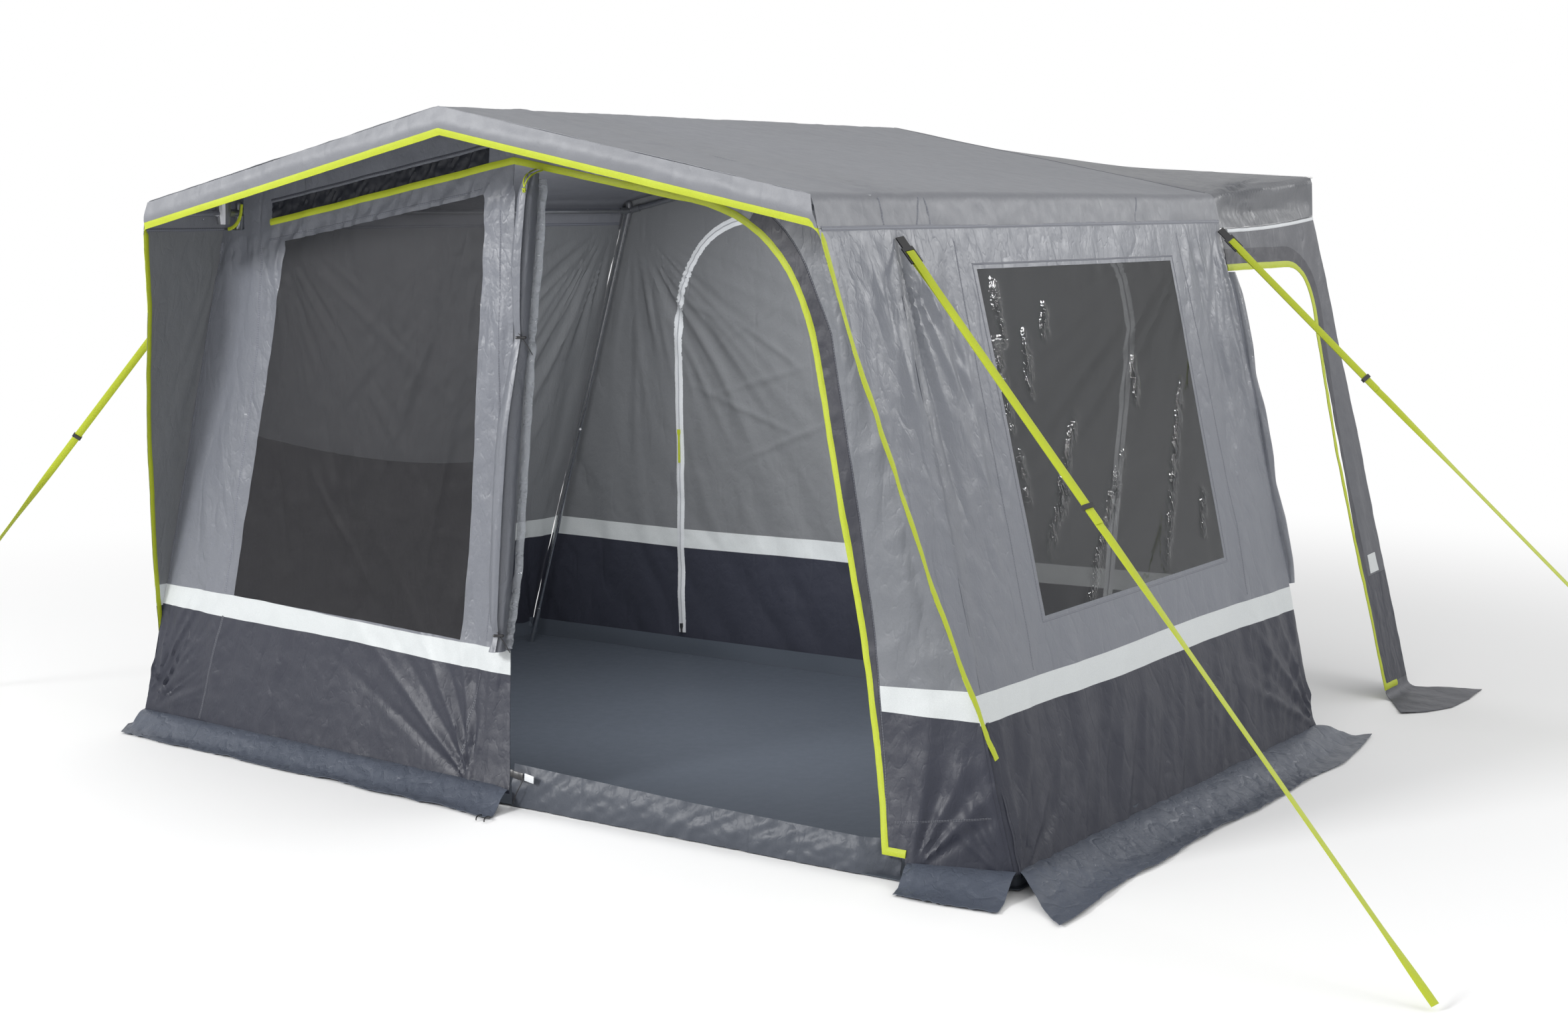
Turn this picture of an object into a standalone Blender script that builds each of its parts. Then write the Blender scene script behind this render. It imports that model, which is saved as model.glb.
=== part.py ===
"""Campervan awning: a ridged room with a porch roof on a steel pole frame, and a tunnel to the van.

Metres, +Z up. +X runs to the right along the front, +Y towards the van. The origin lies on the
ground in the middle of the room.
"""

import math

import bmesh
import bpy
from mathutils import Matrix, Vector

# Room, outside of the cloth
RIDGE_HEIGHT = 2.100
EAVE_HEIGHT = 1.835
EAVE_HALF_WIDTH = 1.305
BASE_HALF_WIDTH = 1.782
HALF_DEPTH = 1.050
FRONT_FLARE = 0.069
REAR_LEAN = 0.121
PORCH_DEPTH = 0.334
VALANCE = 0.085
WALL_FOOT = 0.035
SEAM_HEIGHT = 0.055
CLOTH = 0.003
GAP = 0.0003

# Front wall
BOW_DEPTH = 0.110
BOW_HEIGHT = 0.750
BOW_RIGHT = 1.480
DOOR_LEFT = -0.025
JAMB_SPREAD = 0.85
HEAD_LEFT = (-1.093, EAVE_HEIGHT - 0.069)
HEAD_APEX = (-0.012, RIDGE_HEIGHT - 0.153)
ARCH_START_X = 0.600
ARCH_START_DROP = 0.1422
ARCH_CORNER_X = 1.030
ARCH_CORNER_DROP = 0.1008
ARCH_END = (1.102, EAVE_HEIGHT - 0.448)
LEG_SPREAD = 0.2273
LEG_FLARE = 0.020
DOOR_HEM = 0.063
NOTCH_WIDTH = 0.045
NOTCH_LOW = EAVE_HEIGHT - 0.094
MESH_WINDOW = [(-1.295, 0.505), (-0.223, 0.467), (-0.132, HEAD_APEX[1] - 0.100),
               (-1.021, HEAD_LEFT[1] - 0.061)]
FLAP_HEM = 0.018
FLAP_TOP_LEFT = (-1.196, 1.058)
FLAP_TOP_DIP = (-0.600, 0.980)
FLAP_TOP_RIGHT = (-0.188, 1.025)

# Side walls, with the wings that close the porch
WING_TIP_HEIGHT = 0.340
WING_CURVE_BACK = 0.019
WING_CURVE_HEIGHT = 1.296
CLEAR_WINDOW = [(-0.679, 0.659), (0.520, 0.668), (0.602, 1.621), (-0.641, 1.624)]

# Rear wall and its arched door
ARCH_FOOT_Z = 0.090
ARCH_FOOT_HALF = 0.950
ARCH_SPRING_Z = 1.370
ARCH_SPRING_HALF = 1.016
ARCH_SHOULDER = (0.972, EAVE_HEIGHT - 0.093)
ARCH_TOP_Z = EAVE_HEIGHT - 0.070
ARCH_TOP_HALF = 0.660
ZIP_WIDTH = 0.024

# Frame of poles
POLE_RADIUS = 0.011
POLE_WALL = 0.001
LOWER_LEG_RADIUS = 0.0095
SOCKET_RADIUS = 0.0130
SOCKET_LENGTH = 0.060
SOCKET_SEAT = 0.018
POLE_END = -0.003
EAVE_POLE_X = EAVE_HALF_WIDTH - 0.033
EAVE_POLE_Z = EAVE_HEIGHT - 0.038
JOINT_Y = HALF_DEPTH - 0.020
FOOT_X = BASE_HALF_WIDTH - 0.150
FOOT_INSET_Y = 0.155
LEG_SPLIT = 0.938
LEG_OVERLAP = 0.120
FOOT_SLEEVE_LENGTH = 0.150
FOOT_SLEEVE_RADIUS = 0.0115
CLAMP_ABOVE_SPLIT = 0.018
BOSS_RADIUS = 0.0060
BOSS_REACH = 0.019
SCREW_RADIUS = 0.0028
SCREW_TIP_GAP = 0.0016
KNOB_RADIUS = 0.0085
KNOB_THICKNESS = 0.008
CUP_RADIUS = 0.0280
CUP_FOOT_RADIUS = 0.0200
CUP_HEIGHT = 0.072
CUP_AHEAD = 0.070
CUP_TOP_GAP = 0.0008

# Tunnel to the van
VAN_Y = 1.940
VAN_EDGE_X = 1.296
VAN_EDGE_Z = 1.902
VAN_SHOULDER_X = 0.520
VAN_SHOULDER_Z = 1.952
VAN_RIDGE_Z = 1.985
VAN_BASE_HALF = 1.730
VAN_WALL_TOP_HALF = 1.315
VAN_WALL_TOP_Z = 1.706
TUNNEL_SEAM_Z = EAVE_HEIGHT - 0.113
TUNNEL_SEAM_RISE = 0.037
TUNNEL_FOLD = 0.012
TUNNEL_DOOR_HEAD = 1.600
TUNNEL_DOOR_CORNER = (VAN_Y - 0.155, TUNNEL_DOOR_HEAD - 0.010)
TUNNEL_DOOR_ARC_START = VAN_Y - 0.380
TUNNEL_DOOR_ARC_END = (VAN_Y - 0.176, TUNNEL_DOOR_HEAD - 0.180)
TUNNEL_DOOR_FOOT_Y = VAN_Y - 0.253
KEDER_RADIUS = 0.0035

# Ground cloths
RIM_HEIGHT = 0.050
THRESHOLD_HEIGHT = 0.130
THRESHOLD_Y = -(HALF_DEPTH + FRONT_FLARE + BOW_DEPTH - 0.007)
THRESHOLD_LEAN = 0.022
FRONT_FLAP_WIDTH = 0.145
SIDE_FLAP_WIDTH = 0.198

# Bindings, rolled doors and small fittings
BINDING_WIDTH = 0.024
BINDING_THICKNESS = 0.003
ROLL_FLUTES = 5
ROLL_FLUTE_DEPTH = 0.14
ROLL_STAND = 0.0015
SLIDER_LENGTH = 0.030
PULLER_LENGTH = 0.110
TOGGLE_LENGTH = 0.034
TOGGLE_RADIUS = 0.0050
TOGGLE_TURN = 35

# Guy straps
STRAP_WIDTH = 0.025
STRAP_THICKNESS = 0.002
STRAP_TAIL = 0.055
BUCKLE_WIDTH = 0.036
BUCKLE_THICKNESS = 0.005
BUCKLE_TAB = 0.038
BUCKLE_LENGTH = 0.056
STRAP_INSET = 0.030
PEG_HEIGHT = 0.012
FRONT_PEG = (2.985, -1.365)
REAR_PEG = (3.000, 1.437)
KEEPER_FRONT_RIGHT = 0.956
KEEPER_FRONT_LEFT = 0.998
KEEPER_REAR_RIGHT = 0.725
TWIST_FRONT_RIGHT = -15
TWIST_FRONT_LEFT = -55
TWIST_REAR_RIGHT = -50

ROOF_SLOPE = (RIDGE_HEIGHT - EAVE_HEIGHT) / EAVE_HALF_WIDTH
SIDE_SLOPE = (BASE_HALF_WIDTH - EAVE_HALF_WIDTH) / EAVE_HEIGHT
ROOF_FRONT = -HALF_DEPTH - PORCH_DEPTH
ROOF_REAR = HALF_DEPTH + CLOTH
SIDE_COS = math.cos(math.atan(SIDE_SLOPE))
ROOF_COS = math.cos(math.atan(ROOF_SLOPE))
ARCH_START = (ARCH_START_X, RIDGE_HEIGHT - ROOF_SLOPE * ARCH_START_X - ARCH_START_DROP)
ARCH_CORNER = (ARCH_CORNER_X, RIDGE_HEIGHT - ROOF_SLOPE * ARCH_CORNER_X - ARCH_CORNER_DROP)
WING_CURVE = (ROOF_FRONT + WING_CURVE_BACK, WING_CURVE_HEIGHT)
BOW_ROWS = [0.2 * BOW_HEIGHT, 0.4 * BOW_HEIGHT, 0.6 * BOW_HEIGHT, 0.8 * BOW_HEIGHT, BOW_HEIGHT]

FINISHES = {
    "light cloth": ((0.26, 0.27, 0.31), 0.62, 0.0),
    "roof cloth": ((0.24, 0.245, 0.26), 0.60, 0.0),
    "dark cloth": ((0.075, 0.080, 0.105), 0.60, 0.0),
    "ground cloth": ((0.060, 0.070, 0.085), 0.70, 0.0),
    "mesh": ((0.070, 0.072, 0.075), 0.80, 0.0),
    "clear film": ((0.80, 0.82, 0.84), 0.08, 0.0),
    "lime tape": ((0.66, 0.74, 0.07), 0.55, 0.0),
    "zip tape": ((0.38, 0.39, 0.41), 0.60, 0.0),
    "black plastic": ((0.02, 0.02, 0.02), 0.40, 0.0),
    "steel": ((0.55, 0.56, 0.58), 0.25, 1.0),
    "dark steel": ((0.16, 0.17, 0.19), 0.40, 0.8),
    "rubber": ((0.03, 0.03, 0.03), 0.80, 0.0),
    "white cord": ((0.70, 0.70, 0.70), 0.60, 0.0),
}


def side_x(z):
    """Outside of a side wall at height z, measured from the middle of the room."""
    return BASE_HALF_WIDTH - SIDE_SLOPE * z


def lean(z):
    """How far from the eaves down to the ground, 0 to 1; the gables above the eaves hang upright."""
    return max(0.0, 1 - z / EAVE_HEIGHT)


def front_y(z):
    return -HALF_DEPTH - FRONT_FLARE * lean(z)


def rear_y(z):
    return HALF_DEPTH - REAR_LEAN * lean(z)


def roof_z(x):
    return RIDGE_HEIGHT - ROOF_SLOPE * abs(x)


def inner_limit(z):
    """Where a cloth between the side walls ends at height z."""
    return side_x(z) - (CLOTH + 2 * GAP) / SIDE_COS


def under_roof(x):
    return roof_z(x) - CLOTH / ROOF_COS - GAP


def bow(z):
    """How far the front wall's foot swings outwards beside the open door."""
    low = max(0.0, 1 - z / BOW_HEIGHT)
    return BOW_DEPTH * low * low


def front_point(x, z):
    """The front wall's outside. Beside the open door its foot swings outwards."""
    if x < DOOR_LEFT:
        reach = (x + BASE_HALF_WIDTH) / (DOOR_LEFT + BASE_HALF_WIDTH)
    else:
        reach = (BASE_HALF_WIDTH - x) / (BASE_HALF_WIDTH - BOW_RIGHT)
    reach = min(1.0, max(0.0, reach))
    return Vector((x, front_y(z) - reach * bow(z), z))


def rear_point(u, z):
    return Vector((-u, rear_y(z), z))


def side_point(side):
    """The outside of the right wall (side 1) or the left one (side -1), u running rightwards on it."""
    return lambda u, z: Vector((side * side_x(z), side * u, z))


def tunnel_x(y, z):
    share = (y - rear_y(z)) / (VAN_Y - rear_y(z))
    van_slope = (VAN_BASE_HALF - VAN_WALL_TOP_HALF) / VAN_WALL_TOP_Z
    return side_x(z) * (1 - share) + (VAN_BASE_HALF - van_slope * z) * share


def tunnel_point(side):
    """The outside of a tunnel wall. Below its foot, v runs on outwards over the ground."""
    bend = WALL_FOOT - CLOTH

    def place(u, v):
        y = side * u
        if v >= WALL_FOOT:
            return Vector((side * tunnel_x(y, v), y, v))
        run = WALL_FOOT - v
        angle = min(run / bend, math.pi / 2)
        out = bend * (1 - math.cos(angle)) + max(0.0, run - bend * math.pi / 2)
        return Vector((side * (tunnel_x(y, WALL_FOOT) + out), y, WALL_FOOT - bend * math.sin(angle)))

    return place


def tunnel_seam_z(y):
    share = (y - ROOF_REAR) / (VAN_Y - ROOF_REAR)
    return TUNNEL_SEAM_Z + TUNNEL_SEAM_RISE * share * share


def finished(obj, finish):
    colour, roughness, metallic = FINISHES[finish]
    material = bpy.data.materials.new(obj.name)
    material.use_nodes = True
    shader = material.node_tree.nodes["Principled BSDF"]
    shader.inputs["Base Color"].default_value = (*colour, 1.0)
    shader.inputs["Roughness"].default_value = roughness
    shader.inputs["Metallic"].default_value = metallic
    if finish == "clear film":
        shader.inputs["Alpha"].default_value = 0.35
    obj.data.materials.append(material)
    return obj


def body(name, points, faces, finish, smooth=False):
    """A mesh object from points and faces, with its faces turned outwards."""
    mesh = bpy.data.meshes.new(name)
    mesh.from_pydata([tuple(p) for p in points], [], faces)
    work = bmesh.new()
    work.from_mesh(mesh)
    bmesh.ops.remove_doubles(work, verts=work.verts, dist=1e-6)
    bmesh.ops.dissolve_degenerate(work, dist=1e-6, edges=work.edges)
    bmesh.ops.recalc_face_normals(work, faces=work.faces)
    work.to_mesh(mesh)
    work.free()
    obj = bpy.data.objects.new(name, mesh)
    bpy.context.collection.objects.link(obj)
    if smooth:
        mesh.shade_smooth()
        mesh.set_sharp_from_angle(angle=math.radians(35))
    return finished(obj, finish)


def grid_faces(rows, columns, closed=False):
    faces = []
    for row in range(rows - 1):
        for column in range(columns if closed else columns - 1):
            after = (column + 1) % columns
            a, b = row * columns + column, row * columns + after
            faces.append((a, b, b + columns, a + columns))
    return faces


def shell(name, outer, inner, faces, finish):
    """A closed cloth: its outer surface, the matching inner one and the edge between them."""
    count = len(outer)
    sides = {(face[i - 1], face[i]) for face in faces for i in range(len(face))}
    border = [(a, b) for a, b in sides if (b, a) not in sides]
    solid = list(faces)
    solid += [tuple(count + i for i in reversed(face)) for face in faces]
    solid += [(b, a, count + a, count + b) for a, b in sorted(border)]
    return body(name, [*outer, *inner], solid, finish)


def offset_row(row, across, depth):
    """A run of points moved by depth, square to the run and to the direction across."""
    moved = []
    for i, point in enumerate(row):
        sides = []
        if i > 0:
            sides.append((point - row[i - 1]).cross(across).normalized())
        if i + 1 < len(row):
            sides.append((row[i + 1] - point).cross(across).normalized())
        first, last = sides[0], sides[-1]
        moved.append(point + (first + last) * (depth / (1 + first.dot(last))))
    return moved


def offset_path(path, distance):
    """A flat path of (u, v) moved to its left by distance, with mitred corners."""
    row = [Vector((u, v, 0)) for u, v in path]
    return [(p.x, p.y) for p in offset_row(row, Vector((0, 0, 1)), -distance)]


def arc(start, corner, end, steps):
    """A round corner from start to end that leans towards corner."""
    points = []
    for i in range(steps + 1):
        t = i / steps
        weights = ((1 - t) ** 2, 2 * t * (1 - t), t * t)
        points.append(tuple(sum(w * p[k] for w, p in zip(weights, (start, corner, end)))
                            for k in range(2)))
    return points


def square_to(surface, u, v, step=0.001):
    """The outward direction of a surface at (u, v)."""
    along = surface(u + step, v) - surface(u - step, v)
    up = surface(u, v + step) - surface(u, v - step)
    return along.cross(up).normalized()


def panel(name, outline, holes, surface, finish, bends=((), ()), behind=0.0):
    """A cloth cut to a flat outline, creased along bends, laid on surface and given its thickness."""
    work = bmesh.new()
    for loop in [outline, *holes]:
        verts = [work.verts.new((u, v, 0.0)) for u, v in loop]
        for a, b in zip(verts, verts[1:] + verts[:1]):
            work.edges.new((a, b))
    bmesh.ops.triangle_fill(work, use_beauty=True, edges=work.edges)
    for axis, places in enumerate(bends):
        for place in places:
            spot = Vector((0, 0, 0))
            spot[axis] = place
            square = Vector((0, 0, 0))
            square[axis] = 1
            bmesh.ops.bisect_plane(work, geom=[*work.verts, *work.edges, *work.faces],
                                   dist=1e-5, plane_co=spot, plane_no=square)
    bmesh.ops.triangulate(work, faces=work.faces)
    for face in work.faces:
        if face.normal.z < 0:
            face.normal_flip()
    work.verts.index_update()
    outer, inner = [], []
    for vert in work.verts:
        u, v = vert.co.x, vert.co.y
        inward = -square_to(surface, u, v)
        outer.append(surface(u, v) + inward * behind)
        inner.append(surface(u, v) + inward * (behind + CLOTH))
    faces = [tuple(vert.index for vert in face.verts) for face in work.faces]
    work.free()
    return shell(name, outer, inner, faces, finish)


def strip(name, stations, finish):
    """A flat band: each station gives one edge, the other edge and the direction of its thickness."""
    points = []
    for edge, other, thick in stations:
        points += [edge, other, other + thick, edge + thick]
    faces = grid_faces(len(stations), 4, closed=True)
    last = len(points) - 4
    faces += [(3, 2, 1, 0), (last, last + 1, last + 2, last + 3)]
    return body(name, points, faces, finish)


def binding(name, path, surface, width, finish, lift=0.0005):
    """A tape of the given width laid on the outside of a surface along a flat path."""
    left, right = offset_path(path, width / 2), offset_path(path, -width / 2)
    stations = []
    for (a, b), (c, d) in zip(left, right):
        out = square_to(surface, (a + c) / 2, (b + d) / 2)
        stations.append((surface(a, b) + out * lift, surface(c, d) + out * lift,
                         out * BINDING_THICKNESS))
    return strip(name, stations, finish)


def with_origin(obj, point):
    """Puts an object's origin at point and leaves its shape where it is."""
    obj.data.transform(Matrix.Translation(-point))
    obj.location = point
    return obj


def rings_body(name, rings, finish, smooth=True):
    """A closed body through rings of equally many points, with flat ends."""
    count = len(rings[0])
    points = [p for ring in rings for p in ring]
    faces = grid_faces(len(rings), count, closed=True)
    last = len(points) - count
    faces += [tuple(reversed(range(count))), tuple(range(last, last + count))]
    return body(name, points, faces, finish, smooth)


def circle(centre, axis, radius, count=16, start=0.0):
    """Points round an axis."""
    side = axis.orthogonal().normalized()
    other = axis.cross(side).normalized()
    return [centre + side * (radius * math.cos(start + 2 * math.pi * i / count))
            + other * (radius * math.sin(start + 2 * math.pi * i / count)) for i in range(count)]


def tube(name, a, b, radius, finish, hollow=True):
    """A round pole from a to b, open at both ends."""
    axis = (b - a).normalized()
    outer = [circle(a, axis, radius), circle(b, axis, radius)]
    if not hollow:
        return rings_body(name, outer, finish)
    inner = [circle(b, axis, radius - POLE_WALL), circle(a, axis, radius - POLE_WALL)]
    rings = [*outer, *inner, outer[0]]
    points = [p for ring in rings for p in ring]
    return body(name, points, grid_faces(len(rings), 16, closed=True), finish, smooth=True)


def solid_parts(name, parts):
    """Several closed shapes in one mesh, each a list of rings; a Boolean joins them."""
    points, faces = [], []
    for rings in parts:
        start, count = len(points), len(rings[0])
        points += [p for ring in rings for p in ring]
        made = grid_faces(len(rings), count, closed=True)
        last = (len(rings) - 1) * count
        made += [tuple(reversed(range(count))), tuple(range(last, last + count))]
        faces += [tuple(start + i for i in face) for face in made]
    mesh = bpy.data.meshes.new(name)
    mesh.from_pydata([tuple(p) for p in points], [], faces)
    work = bmesh.new()
    work.from_mesh(mesh)
    bmesh.ops.recalc_face_normals(work, faces=work.faces)
    work.to_mesh(mesh)
    work.free()
    obj = bpy.data.objects.new(name, mesh)
    bpy.context.collection.objects.link(obj)
    return obj


def bored(name, parts, bores, finish):
    """Shapes joined into one body, with bores cut through them."""
    obj = solid_parts(name, parts)
    cutter = solid_parts(name + "_bores", bores)
    cutter.hide_render = True
    cutter.display_type = "WIRE"
    cut = obj.modifiers.new("Bores", "BOOLEAN")
    cut.operation = "DIFFERENCE"
    cut.solver = "EXACT"
    cut.use_self = True
    cut.object = cutter
    obj.data.shade_smooth()
    obj.data.set_sharp_from_angle(angle=math.radians(35))
    return finished(obj, finish)


# Places on the frame

def corner_centre(side, end):
    return Vector((side * EAVE_POLE_X, end * JOINT_Y, EAVE_POLE_Z))


def ridge_centre(end):
    rise = ROOF_SLOPE * EAVE_POLE_X
    return Vector((0, end * JOINT_Y, EAVE_POLE_Z + rise))


def leg_foot(side, end):
    base = front_y(0) + FOOT_INSET_Y if end < 0 else rear_y(0) - FOOT_INSET_Y
    return Vector((side * FOOT_X, base, 0))


def toward(a, b):
    return (b - a).normalized()


def dome(centre, drop=0.006):
    """A stub with a round head that carries the roof cloth above a joint."""
    up = Vector((0, 0, 1))
    head = under_roof(centre.x) - SOCKET_RADIUS / ROOF_COS - centre.z
    rings = [circle(centre - up * drop, up, 0.97 * SOCKET_RADIUS)]
    for i in range(4):
        angle = math.radians(26 * i)
        rings.append(circle(centre + up * (head + SOCKET_RADIUS * math.sin(angle)), up,
                            SOCKET_RADIUS * math.cos(angle)))
    return rings


def socket(centre, direction, length=SOCKET_LENGTH, start=-0.004):
    return [circle(centre + direction * start, direction, SOCKET_RADIUS),
            circle(centre + direction * length, direction, SOCKET_RADIUS)]


def bore(centre, direction, start, length=SOCKET_LENGTH):
    """A bore that a pole fits, from start to past the socket's mouth."""
    radius = (POLE_RADIUS + GAP) / math.cos(math.pi / 16)
    return [circle(centre + direction * start, direction, radius),
            circle(centre + direction * (length + 0.02), direction, radius)]


def cup(centre):
    """The bell round the eave pole just outside the front wall."""
    up = Vector((0, 0, 1))
    level = under_roof(abs(centre.x) + CUP_RADIUS) - CUP_TOP_GAP
    top = Vector((centre.x, centre.y - CUP_AHEAD, level))
    rings = []
    for share, radius in ((1.0, CUP_FOOT_RADIUS), (0.6, 0.88 * CUP_RADIUS), (0.0, CUP_RADIUS)):
        rings.append(circle(top - up * (share * CUP_HEIGHT), up, radius))
    return rings


def make_frame():
    """Poles, the joints that hold them, and the telescopic legs."""
    y_axis = Vector((0, 1, 0))
    pole_front = Vector((0, ROOF_FRONT + CLOTH + GAP, 0))
    for end, word in ((-1, "front"), (1, "rear")):
        inward = -y_axis * end
        top = ridge_centre(end)
        arms = [toward(top, corner_centre(side, end)) for side in (-1, 1)]
        parts = [dome(top), *[socket(top, arm) for arm in arms]]
        bores = [bore(top, arm, SOCKET_SEAT) for arm in arms]
        if end < 0:
            parts.append(socket(top, inward, start=-0.6 * SOCKET_LENGTH))
            bores.append(bore(top, inward, -SOCKET_LENGTH))
        else:
            parts.append(socket(top, inward, start=-SOCKET_RADIUS))
            bores.append(bore(top, inward, POLE_END))
        bored("ridge_joint_" + word, parts, bores, "dark steel")
        for side, hand in ((-1, "left"), (1, "right")):
            centre = corner_centre(side, end)
            to_ridge = toward(centre, top)
            down = toward(centre, leg_foot(side, end))
            parts = [dome(centre), socket(centre, to_ridge), socket(centre, down)]
            bores = [bore(centre, to_ridge, SOCKET_SEAT), bore(centre, down, SOCKET_SEAT)]
            if end < 0:
                parts += [socket(centre, inward, start=-CUP_AHEAD), cup(centre)]
                bores.append(bore(centre, inward, -CUP_AHEAD - 2 * CUP_RADIUS))
            else:
                parts.append(socket(centre, inward, start=-SOCKET_RADIUS))
                bores.append(bore(centre, inward, POLE_END))
            bored(f"corner_joint_{word}_{hand}", parts, bores, "dark steel")
            seat = SOCKET_SEAT + GAP
            tube(f"rafter_{word}_{hand}", centre + to_ridge * seat, top - to_ridge * seat,
                 POLE_RADIUS, "steel")
            make_leg(f"{word}_{hand}", centre, leg_foot(side, end), side, end)
    rear_seat = POLE_END + GAP
    for name, joint in (("ridge_pole", ridge_centre(1)),
                        ("eave_pole_left", corner_centre(-1, 1)),
                        ("eave_pole_right", corner_centre(1, 1))):
        tube(name, Vector((joint.x, pole_front.y, joint.z)), joint - y_axis * rear_seat,
             POLE_RADIUS, "steel")


def make_leg(place, top, foot, side, end):
    """An upper tube with a clamp boss, the lower tube that slides in it, and the clamp's screw."""
    down = toward(top, foot)
    split = top + down * LEG_SPLIT
    start = top + down * (SOCKET_SEAT + GAP)
    clamp = split - down * CLAMP_ABOVE_SPLIT
    out = Vector((-side, -end, 0))
    out = (out - down * out.dot(down)).normalized()
    upper = [[circle(start, down, POLE_RADIUS), circle(split, down, POLE_RADIUS)],
             [circle(clamp + out * 0.004, out, BOSS_RADIUS, 12),
              circle(clamp + out * BOSS_REACH, out, BOSS_RADIUS, 12)]]
    inside = POLE_RADIUS - POLE_WALL
    hole = (SCREW_RADIUS + GAP) / math.cos(math.pi / 12)
    bores = [[circle(start - down * 0.01, down, inside), circle(split + down * 0.01, down, inside)],
             [circle(clamp, out, hole, 12), circle(clamp + out * 2 * BOSS_REACH, out, hole, 12)]]
    bored("leg_upper_" + place, upper, bores, "steel")

    ground = CLOTH + GAP
    sole = foot + (top - foot) * (ground / top.z)
    sleeve_top = sole - down * FOOT_SLEEVE_LENGTH
    neck = sole - down * (FOOT_SLEEVE_LENGTH - 0.004)
    tip = split - down * LEG_OVERLAP
    within = LOWER_LEG_RADIUS - POLE_WALL
    rings = [circle(sole, down, FOOT_SLEEVE_RADIUS),
             circle(neck, down, FOOT_SLEEVE_RADIUS),
             circle(sleeve_top, down, LOWER_LEG_RADIUS),
             circle(tip, down, LOWER_LEG_RADIUS),
             circle(tip, down, within),
             circle(neck, down, within)]
    rings[0] = [p + down * ((ground - p.z) / down.z) for p in rings[0]]
    with_origin(rings_body("leg_lower_" + place, rings, "steel"), sole)

    tip = LOWER_LEG_RADIUS + SCREW_TIP_GAP
    head = BOSS_REACH + GAP
    profile = [(tip, SCREW_RADIUS), (head, SCREW_RADIUS), (head, KNOB_RADIUS),
               (head + 0.6 * KNOB_THICKNESS, KNOB_RADIUS),
               (head + KNOB_THICKNESS, 0.6 * KNOB_RADIUS)]
    rings = []
    for distance, radius in profile:
        ring = circle(clamp + out * distance, out, radius, 12)
        if radius > SCREW_RADIUS:
            ring = [p if i % 2 else p.lerp(clamp + out * distance, 0.18)
                    for i, p in enumerate(ring)]
        rings.append(ring)
    with_origin(rings_body("leg_screw_" + place, rings, "steel"), clamp)


def seam_corner():
    """Where the gable's valance line meets the side wall: (x, z)."""
    z = (RIDGE_HEIGHT - VALANCE - ROOF_SLOPE * BASE_HALF_WIDTH) / (1 - ROOF_SLOPE * SIDE_SLOPE)
    return side_x(z), z


def make_roof():
    """Roof cloth with its side valances and the valance along the porch gable."""
    seam_x, seam_z = seam_corner()
    half = [(seam_x, seam_z), (EAVE_HALF_WIDTH, EAVE_HEIGHT), (0.5 * EAVE_HALF_WIDTH, None)]
    half = [(x, roof_z(x) if z is None else z) for x, z in half]
    section = [(-x, z) for x, z in half] + [(0.0, RIDGE_HEIGHT)] + half[::-1]
    outer_row = [Vector((x, 0, z)) for x, z in section]
    inner_row = offset_row(outer_row, Vector((0, 1, 0)), -CLOTH)

    def at(row, y):
        return [Vector((p.x, y, p.z)) for p in row]

    places = [ROOF_FRONT, -HALF_DEPTH, 0.0, ROOF_REAR]
    outer = [p for y in places for p in at(outer_row, y)]
    inner = [p for y in places for p in at(inner_row, y)]
    columns = len(section)
    for i in range(columns):
        inner[i].y += CLOTH
    faces = grid_faces(len(places), columns)
    low = len(outer)
    outer += [Vector((p.x, ROOF_FRONT, p.z - VALANCE)) for p in outer_row[2:-2]]
    inner += [Vector((p.x, ROOF_FRONT + CLOTH, p.z - VALANCE)) for p in outer_row[2:-2]]
    hem = [0, *range(low, low + columns - 4), columns - 1]
    top = list(range(1, columns - 1))
    faces += [(hem[i], hem[i + 1], top[i + 1], top[i]) for i in range(len(top) - 1)]
    shell("roof", outer, inner, faces, "roof cloth")


def wing_edge():
    """The wing's free edge as (y, z), from the seam corner down to its tip on the corner line."""
    tip = (front_y(WING_TIP_HEIGHT), WING_TIP_HEIGHT)
    return arc((ROOF_FRONT, seam_corner()[1] - GAP), WING_CURVE, tip, 6)


def make_side_walls():
    """Right and left walls, each with its wing; the right one has a clear window."""
    seam_z = seam_corner()[1] - GAP
    outline = [(front_y(WALL_FOOT), WALL_FOOT), (rear_y(WALL_FOOT), WALL_FOOT),
               (rear_y(seam_z), seam_z), *wing_edge()]
    pane = [(y, z) for y, z in CLEAR_WINDOW]
    panel("wall_right", outline, [pane], side_point(1), "light cloth")
    film = offset_path(pane + pane[:2], GAP)[1:-1]
    panel("window_right", film, [], side_point(1), "clear film")
    mirrored = [(-y, z) for y, z in outline][::-1]
    panel("wall_left", mirrored, [], side_point(-1), "light cloth")


def jamb_x(z):
    """The door's left edge, which spreads a little where the wall's foot swings outwards."""
    return DOOR_LEFT + JAMB_SPREAD * bow(z)


def leg_x(z):
    """The door's right edge below its arch."""
    return ARCH_END[0] + LEG_SPREAD * (ARCH_END[1] - z) + LEG_FLARE * bow(z) / BOW_DEPTH


def door_edge(foot):
    """The front door's edge over the arch and down its right leg to the height of its foot."""
    legs = [(leg_x(z), z) for z in (1.2 * BOW_HEIGHT, *BOW_ROWS[::-1], foot)]
    return arc(ARCH_START, ARCH_CORNER, ARCH_END, 8) + legs


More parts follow.
